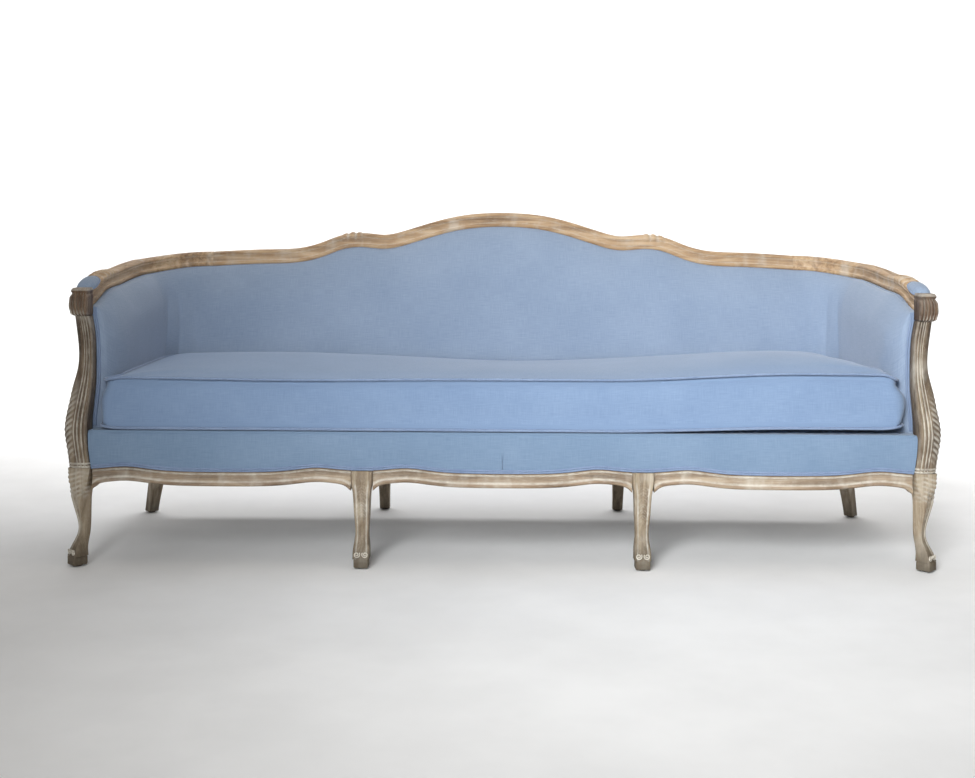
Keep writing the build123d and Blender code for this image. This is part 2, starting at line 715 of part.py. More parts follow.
# Webbing of the seat and of the back
STRAP_WIDTH = 54
STRAP_THICK = 2
inner_bay = MIDDLE_LEG_X - STILE / 2 - 5
outer_bay = MIDDLE_LEG_X + STILE / 2 + 5
strap_xs = [inner_bay * share / 6 for share in (1, 3, 5)]
strap_xs += [outer_bay + (CORNER_X - outer_bay) * share / 8 for share in (1, 3, 5, 7)]
strap_xs += [-x for x in strap_xs]
half_strap = STRAP_WIDTH / 2
cross_top = SEAT_RAIL_TOP + STRAP_THICK
cross_straps = [
    between(x - half_strap, x + half_strap, RECESS_Y + 6, BACK_Y + 10, SEAT_RAIL_TOP, cross_top)
    for x in strap_xs
]
strap_room = CORNER_Y - POST_BACK
long_ys = [POST_BACK + strap_room * share / 6 for share in (1, 3, 5)]
long_straps = [
    between(-ARM_X - 10, ARM_X + 10, y - half_strap, y + half_strap, cross_top, cross_top + STRAP_THICK)
    for y in long_ys
]


def level_strap(stations, low):
    near = -UPRIGHT_THICK / 2 - 0.2
    far = near - STRAP_THICK
    high = low + STRAP_WIDTH
    steps = [(near, low), (far, low), (far, high), (near, high)]
    return Solid.make_loft([trace(wall_place(station), steps) for station in stations], ruled=True)


strap_ends = [back_station(-CORNER_X), back_station(CORNER_X)]
back_straps = [level_strap(strap_ends, TACK_LOW + TACK_HEIGHT + 25 + 90 * row) for row in range(4)]
arm_ends = [arm_station(CORNER_Y), arm_station(ARM_FRONT_Y + 1)]
arm_straps = [level_strap(arm_ends, TACK_LOW + TACK_HEIGHT + 25 + 90 * row) for row in range(3)]
arm_straps += [mirror(strap, about=Plane.YZ) for strap in arm_straps]

# Border under the cushion: a cover whose lower edge follows the top of the front rails and legs
BORDER_LIFT = 1.2
BORDER_LEG_LIFT = 2
border_points = []
for x0, x1 in ((-bay_far, -bay_start), (-bay_end, bay_end), (bay_start, bay_far)):
    for share in (0, 0.06, 0.13, 0.21, 0.33, 0.5, 0.67, 0.79, 0.87, 0.94, 1):
        lift = BORDER_LEG_LIFT if share in (0, 1) else BORDER_LIFT
        border_points.append((x0 + (x1 - x0) * share, apron_height(share) + lift))


def border_layer(front, thick, top, reach):
    y = FRONT_Y + front
    points = [Vector(x, y, z) for x, z in border_points]
    start = Vector(-reach, y, points[0].Z)
    end = Vector(reach, y, points[-1].Z)
    high_start = Vector(-reach, y, top)
    high_end = Vector(reach, y, top)
    lower = [Line(start, points[0]), Spline(*points), Line(points[-1], end)]
    sheet = Face(Wire(lower + [Line(end, high_end), Line(high_end, high_start), Line(high_start, start)]))
    return extrude(sheet, -thick, dir=(0, -1, 0))


border_end = ARM_X + POST_SHAPE[0][1] - 3
border_cover = border_layer(9.3 - COVER_WALL, COVER_WALL, DECK_TOP - COVER_WALL - FIT, border_end)


# Loose cushion and the deck it lies on
def seat_outline(height, inset, belly=0, draw=0):
    """Plan of the seat: long middle between the arms, with an ear in front of each arm."""
    front = CUSHION_FRONT + inset - belly
    ear = EAR_X - inset + belly
    ear_back = EAR_BACK - inset
    side = CUSHION_SIDE - inset
    back = CUSHION_BACK - inset - draw
    turn = CORNER_RADIUS - CUSHION_INSET - inset
    right = [(ear, front), (ear, ear_back), (side, ear_back), (side, back)]
    left = [(-x, y) for x, y in reversed(right)]
    bends = [22 - inset, 10 - inset, 8 + inset, turn]
    outline = FilletPolyline(*right, *left, radius=bends + bends[::-1], close=True)
    return Pos(0, 0, height) * outline.wire()


def crown(base, rise, inset):
    """Domed block that trims the top of the cushion."""
    y0 = CUSHION_FRONT + inset - 30
    y1 = CUSHION_BACK - inset + 30
    middle = (y0 + y1) / 2
    wires = []
    for share in (-1.06, -0.94, -0.8, -0.55, -0.28, 0, 0.28, 0.55, 0.8, 0.94, 1.06):
        x = share * CUSHION_SIDE
        arch = rise * max(0, 1 - abs(share) ** 5) + 0.4
        edge = -0.3 * arch
        steps = [(y0, base - 40), (y0, base + edge), (y1, base + edge, middle, base + arch), (y1, base - 40)]
        wires.append(trace(lambda y, z, x=x: Vector(x, y, z), steps))
    return Solid.make_loft(wires)


def cushion_body(inset):
    low = SEAM_LOW - PIPING_RADIUS + inset
    high = SEAM_HIGH + CUSHION_EDGE - inset
    middle = (SEAM_LOW + SEAM_HIGH) / 2
    sides = Solid.make_loft(
        [
            seat_outline(low, inset),
            seat_outline(middle, inset, CUSHION_BELLY, CUSHION_BACK_DRAW),
            seat_outline(high, inset),
        ]
    )
    cap = extrude(Face(seat_outline(high, inset)), CUSHION_CROWN + 10)
    return Part() + sides + (cap & crown(high, CUSHION_CROWN, inset))


cushion_cover = cushion_body(0) - cushion_body(COVER_WALL)
cushion_core = cushion_body(COVER_WALL + FIT)


def piping(height):
    path = seat_outline(height, -PIPING_RADIUS - 0.5)
    start = Plane(path @ 0, z_dir=path % 0)
    return sweep(start * Circle(PIPING_RADIUS), path)


piping_top = piping(SEAM_HIGH)
piping_bottom = piping(SEAM_LOW)

ZIP_Z = (SEAM_LOW + SEAM_HIGH) / 2
zip_y = CUSHION_BACK - CUSHION_BACK_DRAW + 0.6
half_zip = ZIP_LENGTH / 2
zip_tape = between(-half_zip, half_zip, zip_y, zip_y + 1, ZIP_Z - 12, ZIP_Z + 12)
zip_tape += between(-half_zip + 10, half_zip - 10, zip_y + 1, zip_y + 3, ZIP_Z - 2.5, ZIP_Z + 2.5)
slider_x = -half_zip + 25
zip_slider = between(slider_x - 7, slider_x + 7, zip_y + 1.4, zip_y + 5, ZIP_Z - 5, ZIP_Z + 5)
zip_slider -= between(slider_x - 8, slider_x + 8, zip_y, zip_y + 3.4, ZIP_Z - 2.9, ZIP_Z + 2.9)
zip_slider += between(slider_x - 4, slider_x + 4, zip_y + 4.6, zip_y + 5.8, ZIP_Z - 26, ZIP_Z)

deck_inset = RECESS_Y - CUSHION_FRONT
deck_foam_top = DECK_TOP - COVER_WALL - FIT
deck_foam = extrude(Face(seat_outline(DECK_FOAM_BOTTOM, deck_inset)), deck_foam_top - DECK_FOAM_BOTTOM)
deck_cover = extrude(Face(seat_outline(DECK_TOP - COVER_WALL, 0)), COVER_WALL)

# Dust cover under the seat frame and a glide under each foot
sheet_x = ARM_X - 4
sheet_front = RAIL_BACK - 12
sheet_back = BACK_Y - 4
sheet = FilletPolyline(
    (sheet_x, sheet_front),
    (sheet_x, sheet_back),
    (-sheet_x, sheet_back),
    (-sheet_x, sheet_front),
    radius=[1, CORNER_RADIUS - 4, CORNER_RADIUS - 4, 1],
    close=True,
)
dust_cover = Pos(0, 0, TIMBER_BOTTOM - 1.3) * extrude(make_face(sheet.edges()), 1)


def leg_room(x, y, width, depth, turn=0):
    return Pos(x, y, TIMBER_BOTTOM) * Rot(0, 0, turn) * Box(width + 2, depth + 2, 20)


rooms = [
    leg_room(LEG_X, LEG_Y, CORNER_BLOCK, CORNER_BLOCK),
    leg_room(MIDDLE_LEG_X, MIDDLE_LEG_Y, MIDDLE_BLOCK_WIDTH, MIDDLE_BLOCK_DEPTH),
    leg_room(MIDDLE_LEG_X, BACK_Y, STILE, STILE),
    leg_room(corner_seat.x, corner_seat.y, STILE, STILE, -45),
]
for room in rooms:
    dust_cover = dust_cover - room - mirror(room, about=Plane.YZ)

glide = Pos(0, 0, GLIDE_HEIGHT / 2) * Cylinder(11, GLIDE_HEIGHT)
glide = fillet(glide.edges().group_by(Axis.Z)[0], 2)
toe = FOOT_REACH / math.sqrt(2)
feet = [
    (LEG_X + toe, LEG_Y - toe),
    (MIDDLE_LEG_X, MIDDLE_LEG_Y - FOOT_REACH),
    (MIDDLE_LEG_X, BACK_Y + HEEL),
    (corner_seat.x + HEEL * corner_seat.nx, corner_seat.y + HEEL * corner_seat.ny),
]
glides = [Pos(side * x, y, 0) * glide for x, y in feet for side in (-1, 1)]

save_pair("front_corner_leg", drilled(front_corner_leg))
save_pair("front_middle_leg", drilled(front_middle_leg))
save_pair("rear_corner_stile", drilled(rear_corner_stile))
save_pair("rear_middle_stile", drilled(rear_middle_stile))
save("front_rail_centre", drilled(front_rail_centre))
save_pair("front_rail", drilled(front_rail_side))
save_pair("side_rail", drilled(side_rail))
save("rear_rail_centre", drilled(rear_rail_centre))
save_pair("rear_rail", drilled(rear_rail_side))
save_pair("seat_cross_rail", drilled(cross_rail))
save("corner_blocks", Compound(right_blocks + left_blocks))
save("corner_block_screws", Compound(right_screws + left_screws))
save("seat_frame_dowels", Compound(pins(seat_dowels, DOWEL_RADIUS, DOWEL_LENGTH)))
save("arm_dowels", Compound(pins(arm_dowels, DOWEL_RADIUS, DOWEL_LENGTH)))
save("crest_dowels", Compound(pins(crest_dowels, DOWEL_RADIUS, DOWEL_LENGTH)))
save("leg_glides", Compound(glides))
save_pair("arm_post", drilled(arm_post))
save_pair("arm_scroll", drilled(arm_scroll))
save_pair("arm_rail", drilled(arm_rail))
save("crest_rail", drilled(crest_rail))
save("lower_back_rail_centre", lower_rail_centre)
save_pair("lower_back_rail", lower_rail_side)
save_pair("lower_arm_rail", lower_rail_arm)
save("seat_webbing_cross", Compound(cross_straps))
save("seat_webbing_long", Compound(long_straps))
save("back_webbing", Compound(back_straps + arm_straps))
save("deck_foam", deck_foam)
save("deck_cover", deck_cover)
save("border_cover", border_cover)
save("inside_back_foam", inside_foam_back)
save_pair("inside_arm_foam", inside_foam_arm)
save("inside_back_cover", inside_cover_back)
save_pair("inside_arm_cover", inside_cover_arm)
save("outside_back_cover", outside_cover_back)
save_pair("outside_arm_cover", outside_cover_arm)
save_pair("arm_pad", arm_pad)
save("dust_cover", dust_cover)
save("cushion_cover", cushion_cover)
save("cushion_core", cushion_core)
save("cushion_piping_top", piping_top)
save("cushion_piping_bottom", piping_bottom)
save("cushion_zip", zip_tape)
save("zip_slider", zip_slider)
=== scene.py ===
"""Looks of a carved limed-oak sofa: shaped show-wood, blue linen and one long loose cushion."""

import math

import bmesh
import bpy
import numpy as np
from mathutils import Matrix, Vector


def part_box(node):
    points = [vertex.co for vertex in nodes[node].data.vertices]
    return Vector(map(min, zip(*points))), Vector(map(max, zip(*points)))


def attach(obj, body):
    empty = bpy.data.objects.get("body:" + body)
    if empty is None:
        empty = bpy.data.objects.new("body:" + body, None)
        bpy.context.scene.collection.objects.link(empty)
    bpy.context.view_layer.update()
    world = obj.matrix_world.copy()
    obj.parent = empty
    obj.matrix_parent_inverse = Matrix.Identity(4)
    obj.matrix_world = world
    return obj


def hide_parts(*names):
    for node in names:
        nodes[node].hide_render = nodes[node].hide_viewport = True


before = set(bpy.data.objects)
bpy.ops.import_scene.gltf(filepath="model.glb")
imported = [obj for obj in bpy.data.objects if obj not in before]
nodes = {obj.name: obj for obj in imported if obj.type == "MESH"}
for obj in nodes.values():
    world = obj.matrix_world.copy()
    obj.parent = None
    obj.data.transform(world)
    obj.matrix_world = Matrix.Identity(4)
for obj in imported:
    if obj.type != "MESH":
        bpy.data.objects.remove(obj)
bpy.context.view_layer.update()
scene = bpy.context.scene

# Sizes in millimetres: X to the right, Y to the back, Z up
MM = 0.001
RAKE = math.tan(math.radians(8))
SEAT_RAIL_TOP = 310
POST_FOOT = 251
DECK_TOP = 348
ARM_X = 1078
CORNER_RADIUS = 188
CORNER_X = ARM_X - CORNER_RADIUS
CORNER_LENGTH = CORNER_RADIUS * math.pi / 2
ARM_RUN = CORNER_X + CORNER_LENGTH
FRONT_Y = -381
BACK_Y = 288.8
CORNER_Y = BACK_Y - CORNER_RADIUS
ARM_FRONT_Y = -310
SCROLL_BACK = -341
SCROLL_RUN = ARM_RUN + CORNER_Y - SCROLL_BACK

# Show-wood
RAIL_HALF = 22.5
CREST_CENTRE = 912 - RAIL_HALF
CORNER_CENTRE = CREST_CENTRE - 126
ARM_CENTRE = CREST_CENTRE - 147
APRON_TOP = 249
APRON_TALL = 37
RAIL_FRONT = -377
RAIL_DEEP = 48
LEG_X = 1071
LEG_Y = -350
MIDDLE_LEG_X = 356.8
MIDDLE_LEG_Y = -351
LEG_BLOCK = 28
GLIDE = 4

# Upholstery
PAD_FACE = -80
PAD_BACK = -16.5
PAD_LIP = -31
PAD_LOW = 320
PAD_ROLL = 95
PAD_GAP = 0.4
CORD = 2.7

# Loose cushion
CUSHION_FRONT = -372
CUSHION_SIDE = 986
CUSHION_BACK = 201
EAR_X = 1029
EAR_BACK = -319
SEAM_LOW = 353
SEAM_HIGH = 483
PIPING = 3.7
ZIP_HALF = 750
ZIP_LOW = 406
ZIP_HIGH = 430
ZIP_BACK = 193
CUSHION_BOXING = (468, 453, 438, 432, 418, 404, 398, 383, 368)

MITRE = 0.6


def smooth_curve(places, values, first=None, last=None):
    """A cubic through the points, as a function of place."""
    places = np.array(places, float)
    values = np.array(values, float)
    gaps = np.diff(places)
    rises = np.diff(values) / gaps
    count = len(places)
    matrix = np.zeros((count, count))
    sides = np.zeros(count)
    matrix[0, :2] = 2 * gaps[0], gaps[0]
    sides[0] = 6 * (rises[0] - (rises[0] if first is None else first))
    matrix[-1, -2:] = gaps[-1], 2 * gaps[-1]
    sides[-1] = 6 * ((rises[-1] if last is None else last) - rises[-1])
    for k in range(1, count - 1):
        matrix[k, k - 1:k + 2] = gaps[k - 1], 2 * (gaps[k - 1] + gaps[k]), gaps[k]
        sides[k] = 6 * (rises[k] - rises[k - 1])
    bends = np.linalg.solve(matrix, sides)

    def height(place):
        k = np.clip(np.searchsorted(places, place) - 1, 0, count - 2)
        left = place - places[k]
        right = places[k + 1] - place
        gap = gaps[k]
        low = (values[k] / gap - bends[k] * gap / 6) * right
        high = (values[k + 1] / gap - bends[k + 1] * gap / 6) * left
        return (bends[k] * right ** 3 + bends[k + 1] * left ** 3) / (6 * gap) + low + high

    return height


def shape_curves(rows):
    """One smooth function of height for each column of a shape."""
    columns = list(zip(*rows))
    return [smooth_curve(columns[0], column) for column in columns[1:]]


def ease(value, low, high):
    """0 below low, 1 above high, smooth between."""
    share = np.clip((value - low) / (high - low), 0, 1)
    return share * share * (3 - 2 * share)


def moulding(start, *runs):
    """Points round a moulding, outside to the left: each run has its end, its bulge and its steps."""
    points = [np.array(start, float)]
    for end, bulge, steps in runs:
        begin = points[-1]
        along = np.array(end, float) - begin
        left = np.array((-along[1], along[0])) / math.hypot(*along)
        for step in range(1, steps + 1):
            share = step / steps
            points.append(begin + along * share + left * bulge * 4 * share * (1 - share))
    return np.array(points)


def hollows(outline, beside=0.5):
    """How deep in a groove each point of a closed outline lies, from 0 to 1, and beside it."""
    before = outline - np.roll(outline, 1, axis=0)
    after = np.roll(outline, -1, axis=0) - outline
    turn = before[:, 0] * after[:, 1] - before[:, 1] * after[:, 0]
    lengths = np.linalg.norm(before, axis=1) * np.linalg.norm(after, axis=1) + 1e-9
    groove = np.clip(turn / lengths * 1.6, 0, 1)
    return np.maximum(groove, beside * np.maximum(np.roll(groove, 1), np.roll(groove, -1)))


def push_out(outline, distance):
    """A closed outline moved outwards, to its left."""
    along = np.roll(outline, -1, axis=0) - np.roll(outline, 1, axis=0)
    along /= np.linalg.norm(along, axis=1)[:, None] + 1e-9
    return outline + np.stack((-along[:, 1], along[:, 0]), axis=1) * np.reshape(distance, (-1, 1))


def loft_faces(rings, points, closed=True, caps=True):
    """Quads between rings of points, with the end rings filled."""
    faces = []
    for ring in range(rings - 1):
        for point in range(points if closed else points - 1):
            near = ring * points
            far = near + points
            after = (point + 1) % points
            faces.append((near + point, near + after, far + after, far + point))
    if caps and closed:
        faces.append(tuple(reversed(range(points))))
        faces.append(tuple((rings - 1) * points + point for point in range(points)))
    return faces


def add_piece(name, points, faces, material, lime=None, cloth=None, sharp=38):
    """A mesh piece from points in millimetres, with its grooves or its cloth map stored on it."""
    mesh = bpy.data.meshes.new(name)
    mesh.from_pydata((np.asarray(points, float).reshape(-1, 3) * MM).tolist(), [], faces)
    if lime is not None:
        stored = mesh.attributes.new("lime", "FLOAT", "POINT")
        stored.data.foreach_set("value", np.asarray(lime, np.float32).ravel())
    if cloth is not None:
        corners = np.zeros(len(mesh.loops), np.int32)
        mesh.loops.foreach_get("vertex_index", corners)
        flat = np.asarray(cloth, np.float32).reshape(-1, 2)[corners] * MM
        mesh.uv_layers.new(name="cloth").data.foreach_set("uv", flat.ravel())
    shell = bmesh.new()
    shell.from_mesh(mesh)
    bmesh.ops.recalc_face_normals(shell, faces=shell.faces)
    shell.to_mesh(mesh)
    shell.free()
    mesh.shade_smooth()
    mesh.set_sharp_from_angle(angle=math.radians(sharp))
    mesh.materials.append(material)
    piece = bpy.data.objects.new(name, mesh)
    scene.collection.objects.link(piece)
    return piece


def settle(piece, body, slot, *replaced):
    """Ties a piece to its body and hides the solids that it stands for; the finish named by slot is not used.
    """
    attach(piece, body)
    if replaced:
        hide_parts(*replaced)
    return piece


def sides():
    """The right-hand side, then the left."""
    return (("right", 1), ("left", -1))


# Materials


def srgb(red, green, blue):
    """A colour as a screen shows it, from 0 to 255, made linear."""
    shares = [value / 255 for value in (red, green, blue)]
    return [s / 12.92 if s <= 0.04045 else ((s + 0.055) / 1.055) ** 2.4 for s in shares] + [1]


def shader_group(name, inputs, outputs):
    """An empty shader group with named sockets, and its two ends."""
    tree = bpy.data.node_groups.new(name, "ShaderNodeTree")
    for label, kind in inputs:
        tree.interface.new_socket(label, in_out="INPUT", socket_type=kind)
    for label, kind in outputs:
        tree.interface.new_socket(label, in_out="OUTPUT", socket_type=kind)
    return tree, tree.nodes.new("NodeGroupInput"), tree.nodes.new("NodeGroupOutput")


def add_node(tree, kind, **settings):
    """A node with its properties set by name, and its sockets by label."""
    node = tree.nodes.new(kind)
    sockets = settings.pop("sockets", {})
    for key, value in settings.items():
        setattr(node, key, value)
    for label, value in sockets.items():
        if hasattr(value, "is_output"):
            tree.links.new(value, node.inputs[label])
        else:
            node.inputs[label].default_value = value
    return node


def stretched_noise(tree, vector, scale, detail=3.0, rough=0.55, distortion=0.0):
    """Noise drawn out by a different scale along each axis."""
    mapped = add_node(tree, "ShaderNodeMapping", sockets={"Vector": vector, "Scale": scale})
    sockets = {"Vector": mapped.outputs[0], "Scale": 1.0, "Detail": detail,
               "Roughness": rough, "Distortion": distortion}
    return add_node(tree, "ShaderNodeTexNoise", sockets=sockets).outputs[0]


def in_range(tree, value, low, high, to_low=0.0, to_high=1.0):
    """A value moved from one range to another and held within it."""
    sockets = {"Value": value, "From Min": low, "From Max": high,
               "To Min": to_low, "To Max": to_high}
    return add_node(tree, "ShaderNodeMapRange", sockets=sockets).outputs[0]


def maths(tree, operation, first, second):
    """Two values put together by an operation."""
    return add_node(tree, "ShaderNodeMath", operation=operation, sockets={0: first, 1: second}).outputs[0]


def mixed(tree, share, first, second, blend="MIX"):
    """Two colours mixed by a share."""
    node = add_node(tree, "ShaderNodeMix", data_type="RGBA", blend_type=blend)
    for index, value in ((0, share), (6, first), (7, second)):
        if hasattr(value, "is_output"):
            tree.links.new(value, node.inputs[index])
        else:
            node.inputs[index].default_value = value
    return node.outputs[2]


def colour_steps(tree, value, steps):
    """A colour ramp through (place, colour) steps."""
    ramp = add_node(tree, "ShaderNodeValToRGB", sockets={"Fac": value})
    stops = ramp.color_ramp.elements
    while len(stops) < len(steps):
        stops.new(0.5)
    for stop, (place, colour) in zip(stops, steps):
        stop.position = place
        stop.color = colour
    return ramp.outputs[0]


def oak_grain_group():
    """Grain that runs along X: figure, open pores and height."""
    ends = (("Along", "NodeSocketVector"),), (
        ("Tone", "NodeSocketFloat"), ("Pore", "NodeSocketFloat"), ("Height", "NodeSocketFloat"))
    tree, given, put = shader_group("oak_grain", *ends)
    vector = given.outputs["Along"]
    figure = stretched_noise(tree, vector, (5, 75, 75), 5, 0.6, 0.5)
    patch = stretched_noise(tree, vector, (4, 14, 14), 2)
    fine = stretched_noise(tree, vector, (30, 1100, 1100), 2)
    pore = in_range(tree, fine, 0.54, 0.68)
    tone = maths(tree, "ADD", maths(tree, "MULTIPLY", figure, 0.62), maths(tree, "MULTIPLY", patch, 0.38))
    height = maths(tree, "SUBTRACT", maths(tree, "MULTIPLY", figure, 0.4), maths(tree, "MULTIPLY", pore, 0.6))
    for label, value in (("Tone", tone), ("Pore", pore), ("Height", height)):
        tree.links.new(value, put.inputs[label])
    return tree


def linen_weave_group():
    """Plain weave with slubs along both threads: tone and height."""
    ends = (("Cloth", "NodeSocketVector"),), (("Tone", "NodeSocketFloat"), ("Height", "NodeSocketFloat"))
    tree, given, put = shader_group("linen_weave", *ends)
    vector = given.outputs["Cloth"]
    weft = stretched_noise(tree, vector, (26, 620, 1), 3, 0.6)
    warp = stretched_noise(tree, vector, (620, 26, 1), 3, 0.6)
    patch = stretched_noise(tree, vector, (5, 5, 1), 2)
    slub = maths(tree, "ADD", maths(tree, "MULTIPLY", weft, 0.42), maths(tree, "MULTIPLY", warp, 0.33))
    tone = maths(tree, "ADD", slub, maths(tree, "MULTIPLY", patch, 0.25))
    waves = []
    for axis in "XY":
        sockets = {"Vector": vector, "Scale": 230.0, "Distortion": 1.2, "Detail": 1.0}
        waves.append(add_node(tree, "ShaderNodeTexWave", bands_direction=axis, sockets=sockets).outputs[1])
    weave = maths(tree, "MULTIPLY", waves[0], waves[1])
    height = maths(tree, "ADD", maths(tree, "MULTIPLY", weave, 0.5), slub)
    for label, value in (("Tone", tone), ("Height", height)):
        tree.links.new(value, put.inputs[label])
    return tree


OAK_GRAIN = oak_grain_group()
LINEN_WEAVE = linen_weave_group()


def new_material(name, roughness):
    """A material with its shader, ready for nodes."""
    material = bpy.data.materials.new(name)
    material.use_nodes = True
    tree = material.node_tree
    shader = tree.nodes["Principled BSDF"]
    shader.inputs["Roughness"].default_value = roughness
    return material, tree, shader


def add_bump(tree, shader, height, strength, distance):
    """Lets a height disturb the surface."""
    sockets = {"Height": height, "Strength": strength, "Distance": distance}
    bump = add_node(tree, "ShaderNodeBump", sockets=sockets)
    tree.links.new(bump.outputs[0], shader.inputs["Normal"])


GRAIN_TURN = {"x": (0, 0, 0), "y": (0, 0, math.pi / 2), "z": (0, math.pi / 2, 0)}
OAK_TONES = {
    "tan": ((128, 99, 69), (177, 144, 107), (205, 176, 140)),
    "pale": ((98, 79, 59), (142, 120, 96), (174, 154, 129)),
    "brown": ((56, 38, 23), (88, 63, 41), (120, 93, 66)),
    "dim": ((66, 52, 38), (105, 88, 70), (140, 124, 102)),
    "grey": ((98, 81, 62), (138, 121, 99), (172, 157, 134)),
}
LIME_WASH = srgb(214, 208, 196)
# Dark tone that the legs and stiles are mixed towards near the floor: darker towards the bottom
FOOT_DARK_TONE = srgb(70, 62, 48)


def limed_oak(name, grain, tones, lime=1.0, foot_darkening=0.0, haziness=0.42):
    """Oak with white wash left in its grooves and pores, and its colour darker towards the floor at the feet.
    """
    material, tree, shader = new_material(name, 0.62)
    place = add_node(tree, "ShaderNodeTexCoord").outputs["Object"]
    turned = add_node(tree, "ShaderNodeMapping", sockets={"Vector": place, "Rotation": GRAIN_TURN[grain]})
    oak = add_node(tree, "ShaderNodeGroup", node_tree=OAK_GRAIN, sockets={"Along": turned.outputs[0]})
    dark, middle, light = [srgb(*tone) for tone in OAK_TONES[tones]]
    tone = oak.outputs["Tone"]
    bare = colour_steps(tree, tone, ((0.36, dark), (0.5, middle), (0.63, light)))
    groove = add_node(tree, "ShaderNodeAttribute", attribute_name="lime").outputs["Fac"]
    wash_noise = stretched_noise(tree, place, (38, 38, 38), 4, 0.65)
    wash = maths(tree, "MULTIPLY", groove, in_range(tree, wash_noise, 0.3, 0.6, 0.35, 0.95 * lime))
    in_pores = in_range(tree, wash_noise, 0.42, 0.66, 0.1, 0.55 * lime)
    haze = maths(tree, "MULTIPLY", oak.outputs["Pore"], in_pores)
    cloud = in_range(tree, stretched_noise(tree, place, (17, 17, 9), 3, 0.6), 0.52, 0.72, 0.0, haziness)
    share = add_node(tree, "ShaderNodeMath", operation="ADD", use_clamp=True,
                     sockets={0: wash, 1: maths(tree, "MAXIMUM", haze, cloud)})
    colour = mixed(tree, share.outputs[0], bare, LIME_WASH)
    # Darker towards the floor: the colour mixes towards the dark tone below 13 cm, with a noisy edge
    if foot_darkening:
        height = add_node(tree, "ShaderNodeSeparateXYZ", sockets={0: place}).outputs["Z"]
        foot_height = maths(tree, "ADD", height, maths(tree, "MULTIPLY", wash_noise, 0.05))
        colour = mixed(tree, in_range(tree, foot_height, 0.035, 0.13, foot_darkening, 0.0), colour, FOOT_DARK_TONE)
    tree.links.new(colour, shader.inputs["Base Color"])
    tree.links.new(in_range(tree, tone, 0.3, 0.7, 0.74, 0.52), shader.inputs["Roughness"])
    add_bump(tree, shader, oak.outputs["Height"], 0.35, 0.0006)
    return material


def linen(name, dark, light, along="cloth"):
    """Slubby linen, mapped along the cloth or, on cords, by place."""
    material, tree, shader = new_material(name, 0.9)
    shader.inputs["Sheen Weight"].default_value = 0.22
    shader.inputs["Sheen Roughness"].default_value = 0.5
    shader.inputs["Specular IOR Level"].default_value = 0.25
    if along == "cloth":
        place = add_node(tree, "ShaderNodeUVMap", uv_map="cloth").outputs[0]
    else:
        place = add_node(tree, "ShaderNodeTexCoord").outputs["Object"]
    weave = add_node(tree, "ShaderNodeGroup", node_tree=LINEN_WEAVE, sockets={"Cloth": place})
    colour = colour_steps(tree, weave.outputs["Tone"], ((0.34, srgb(*dark)), (0.66, srgb(*light))))
    tree.links.new(colour, shader.inputs["Base Color"])
    rough = in_range(tree, weave.outputs["Tone"], 0.3, 0.7, 0.82, 0.96)
    tree.links.new(rough, shader.inputs["Roughness"])
    add_bump(tree, shader, weave.outputs["Height"], 0.3, 0.0008)
    return material


def speckled(name, dark, light, scale, roughness, metallic=0.0, bump=0.2):
    """A plain finish broken up by fine noise, for hardware and hidden cloth."""
    material, tree, shader = new_material(name, roughness)
    shader.inputs["Metallic"].default_value = metallic
    place = add_node(tree, "ShaderNodeTexCoord").outputs["Object"]
    noise = stretched_noise(tree, place, scale, 4, 0.6)
    colour = colour_steps(tree, noise, ((0.36, srgb(*dark)), (0.64, srgb(*light))))
    tree.links.new(colour, shader.inputs["Base Color"])
    spread = in_range(tree, noise, 0.3, 0.7, max(roughness - 0.12, 0.05), min(roughness + 0.1, 1.0))
    tree.links.new(spread, shader.inputs["Roughness"])
    add_bump(tree, shader, noise, bump, 0.0005)
    return material


OAK_RAIL = limed_oak("oak_crest", "x", "tan")
OAK_ARM = limed_oak("oak_arm_rail", "y", "tan", 0.8)
OAK_POST = limed_oak("oak_post", "z", "dim")
OAK_SCROLL = limed_oak("oak_scroll", "z", "brown", 0.9, 0.0, 0.12)
OAK_APRON = limed_oak("oak_apron", "x", "pale")
OAK_LEG = limed_oak("oak_leg", "z", "grey", 1.0, 0.8)
OAK_VOLUTE = limed_oak("oak_volute", "z", "grey", 1.1)
OAK_STILE = limed_oak("oak_stile", "z", "grey", 0.7, 0.6)
OAK_SIDE = limed_oak("oak_side_rail", "y", "grey", 0.7)
BLUE_LINEN = linen("blue_linen", (114, 137, 170), (138, 160, 190))
WALL_LINEN = linen("wall_linen", (128, 146, 171), (154, 169, 191))
BAND_LINEN = linen("border_linen", (107, 131, 158), (132, 153, 178))
CORD_LINEN = linen("cord_linen", (114, 133, 164), (140, 157, 185), "place")
BEECH = limed_oak("beech_frame", "x", "tan", 0.1, 0.0, 0.0)
WEBBING = speckled("webbing", (120, 96, 62), (178, 150, 104), (14, 700, 700), 0.88, 0, 0.5)
DUST_CLOTH = speckled("dust_cloth", (26, 27, 29), (52, 53, 56), (420, 420, 60), 0.93, 0, 0.5)
ZIP_TAPE = speckled("zip_tape", (96, 118, 160), (134, 154, 192), (60, 900, 900), 0.85, 0, 0.4)
STEEL = speckled("bright_steel", (158, 158, 160), (204, 204, 206), (40, 420, 420), 0.34, 1.0)
GLIDE_PLASTIC = speckled("glide_plastic", (50, 46, 40), (78, 72, 62), (180, 180, 180), 0.5)


# The line of the back and arms


def wall(run):
    """Place, outward direction and share of the rake at a run along the back from its middle."""
    side = 1 if run >= 0 else -1
    run = abs(run)
    if run <= CORNER_X:
        return side * run, BACK_Y, 0.0, 1.0, 1.0
    if run <= ARM_RUN:
        turn = (run - CORNER_X) / CORNER_RADIUS
        out_x, out_y = math.sin(turn), math.cos(turn)
        x = CORNER_X + CORNER_RADIUS * out_x
        return side * x, CORNER_Y + CORNER_RADIUS * out_y, side * out_x, out_y, 1.0
    y = CORNER_Y - (run - ARM_RUN)
    share = min(max((y - ARM_FRONT_Y) / (CORNER_Y - ARM_FRONT_Y), 0), 1)
    return side * ARM_X, y, float(side), 0.0, share


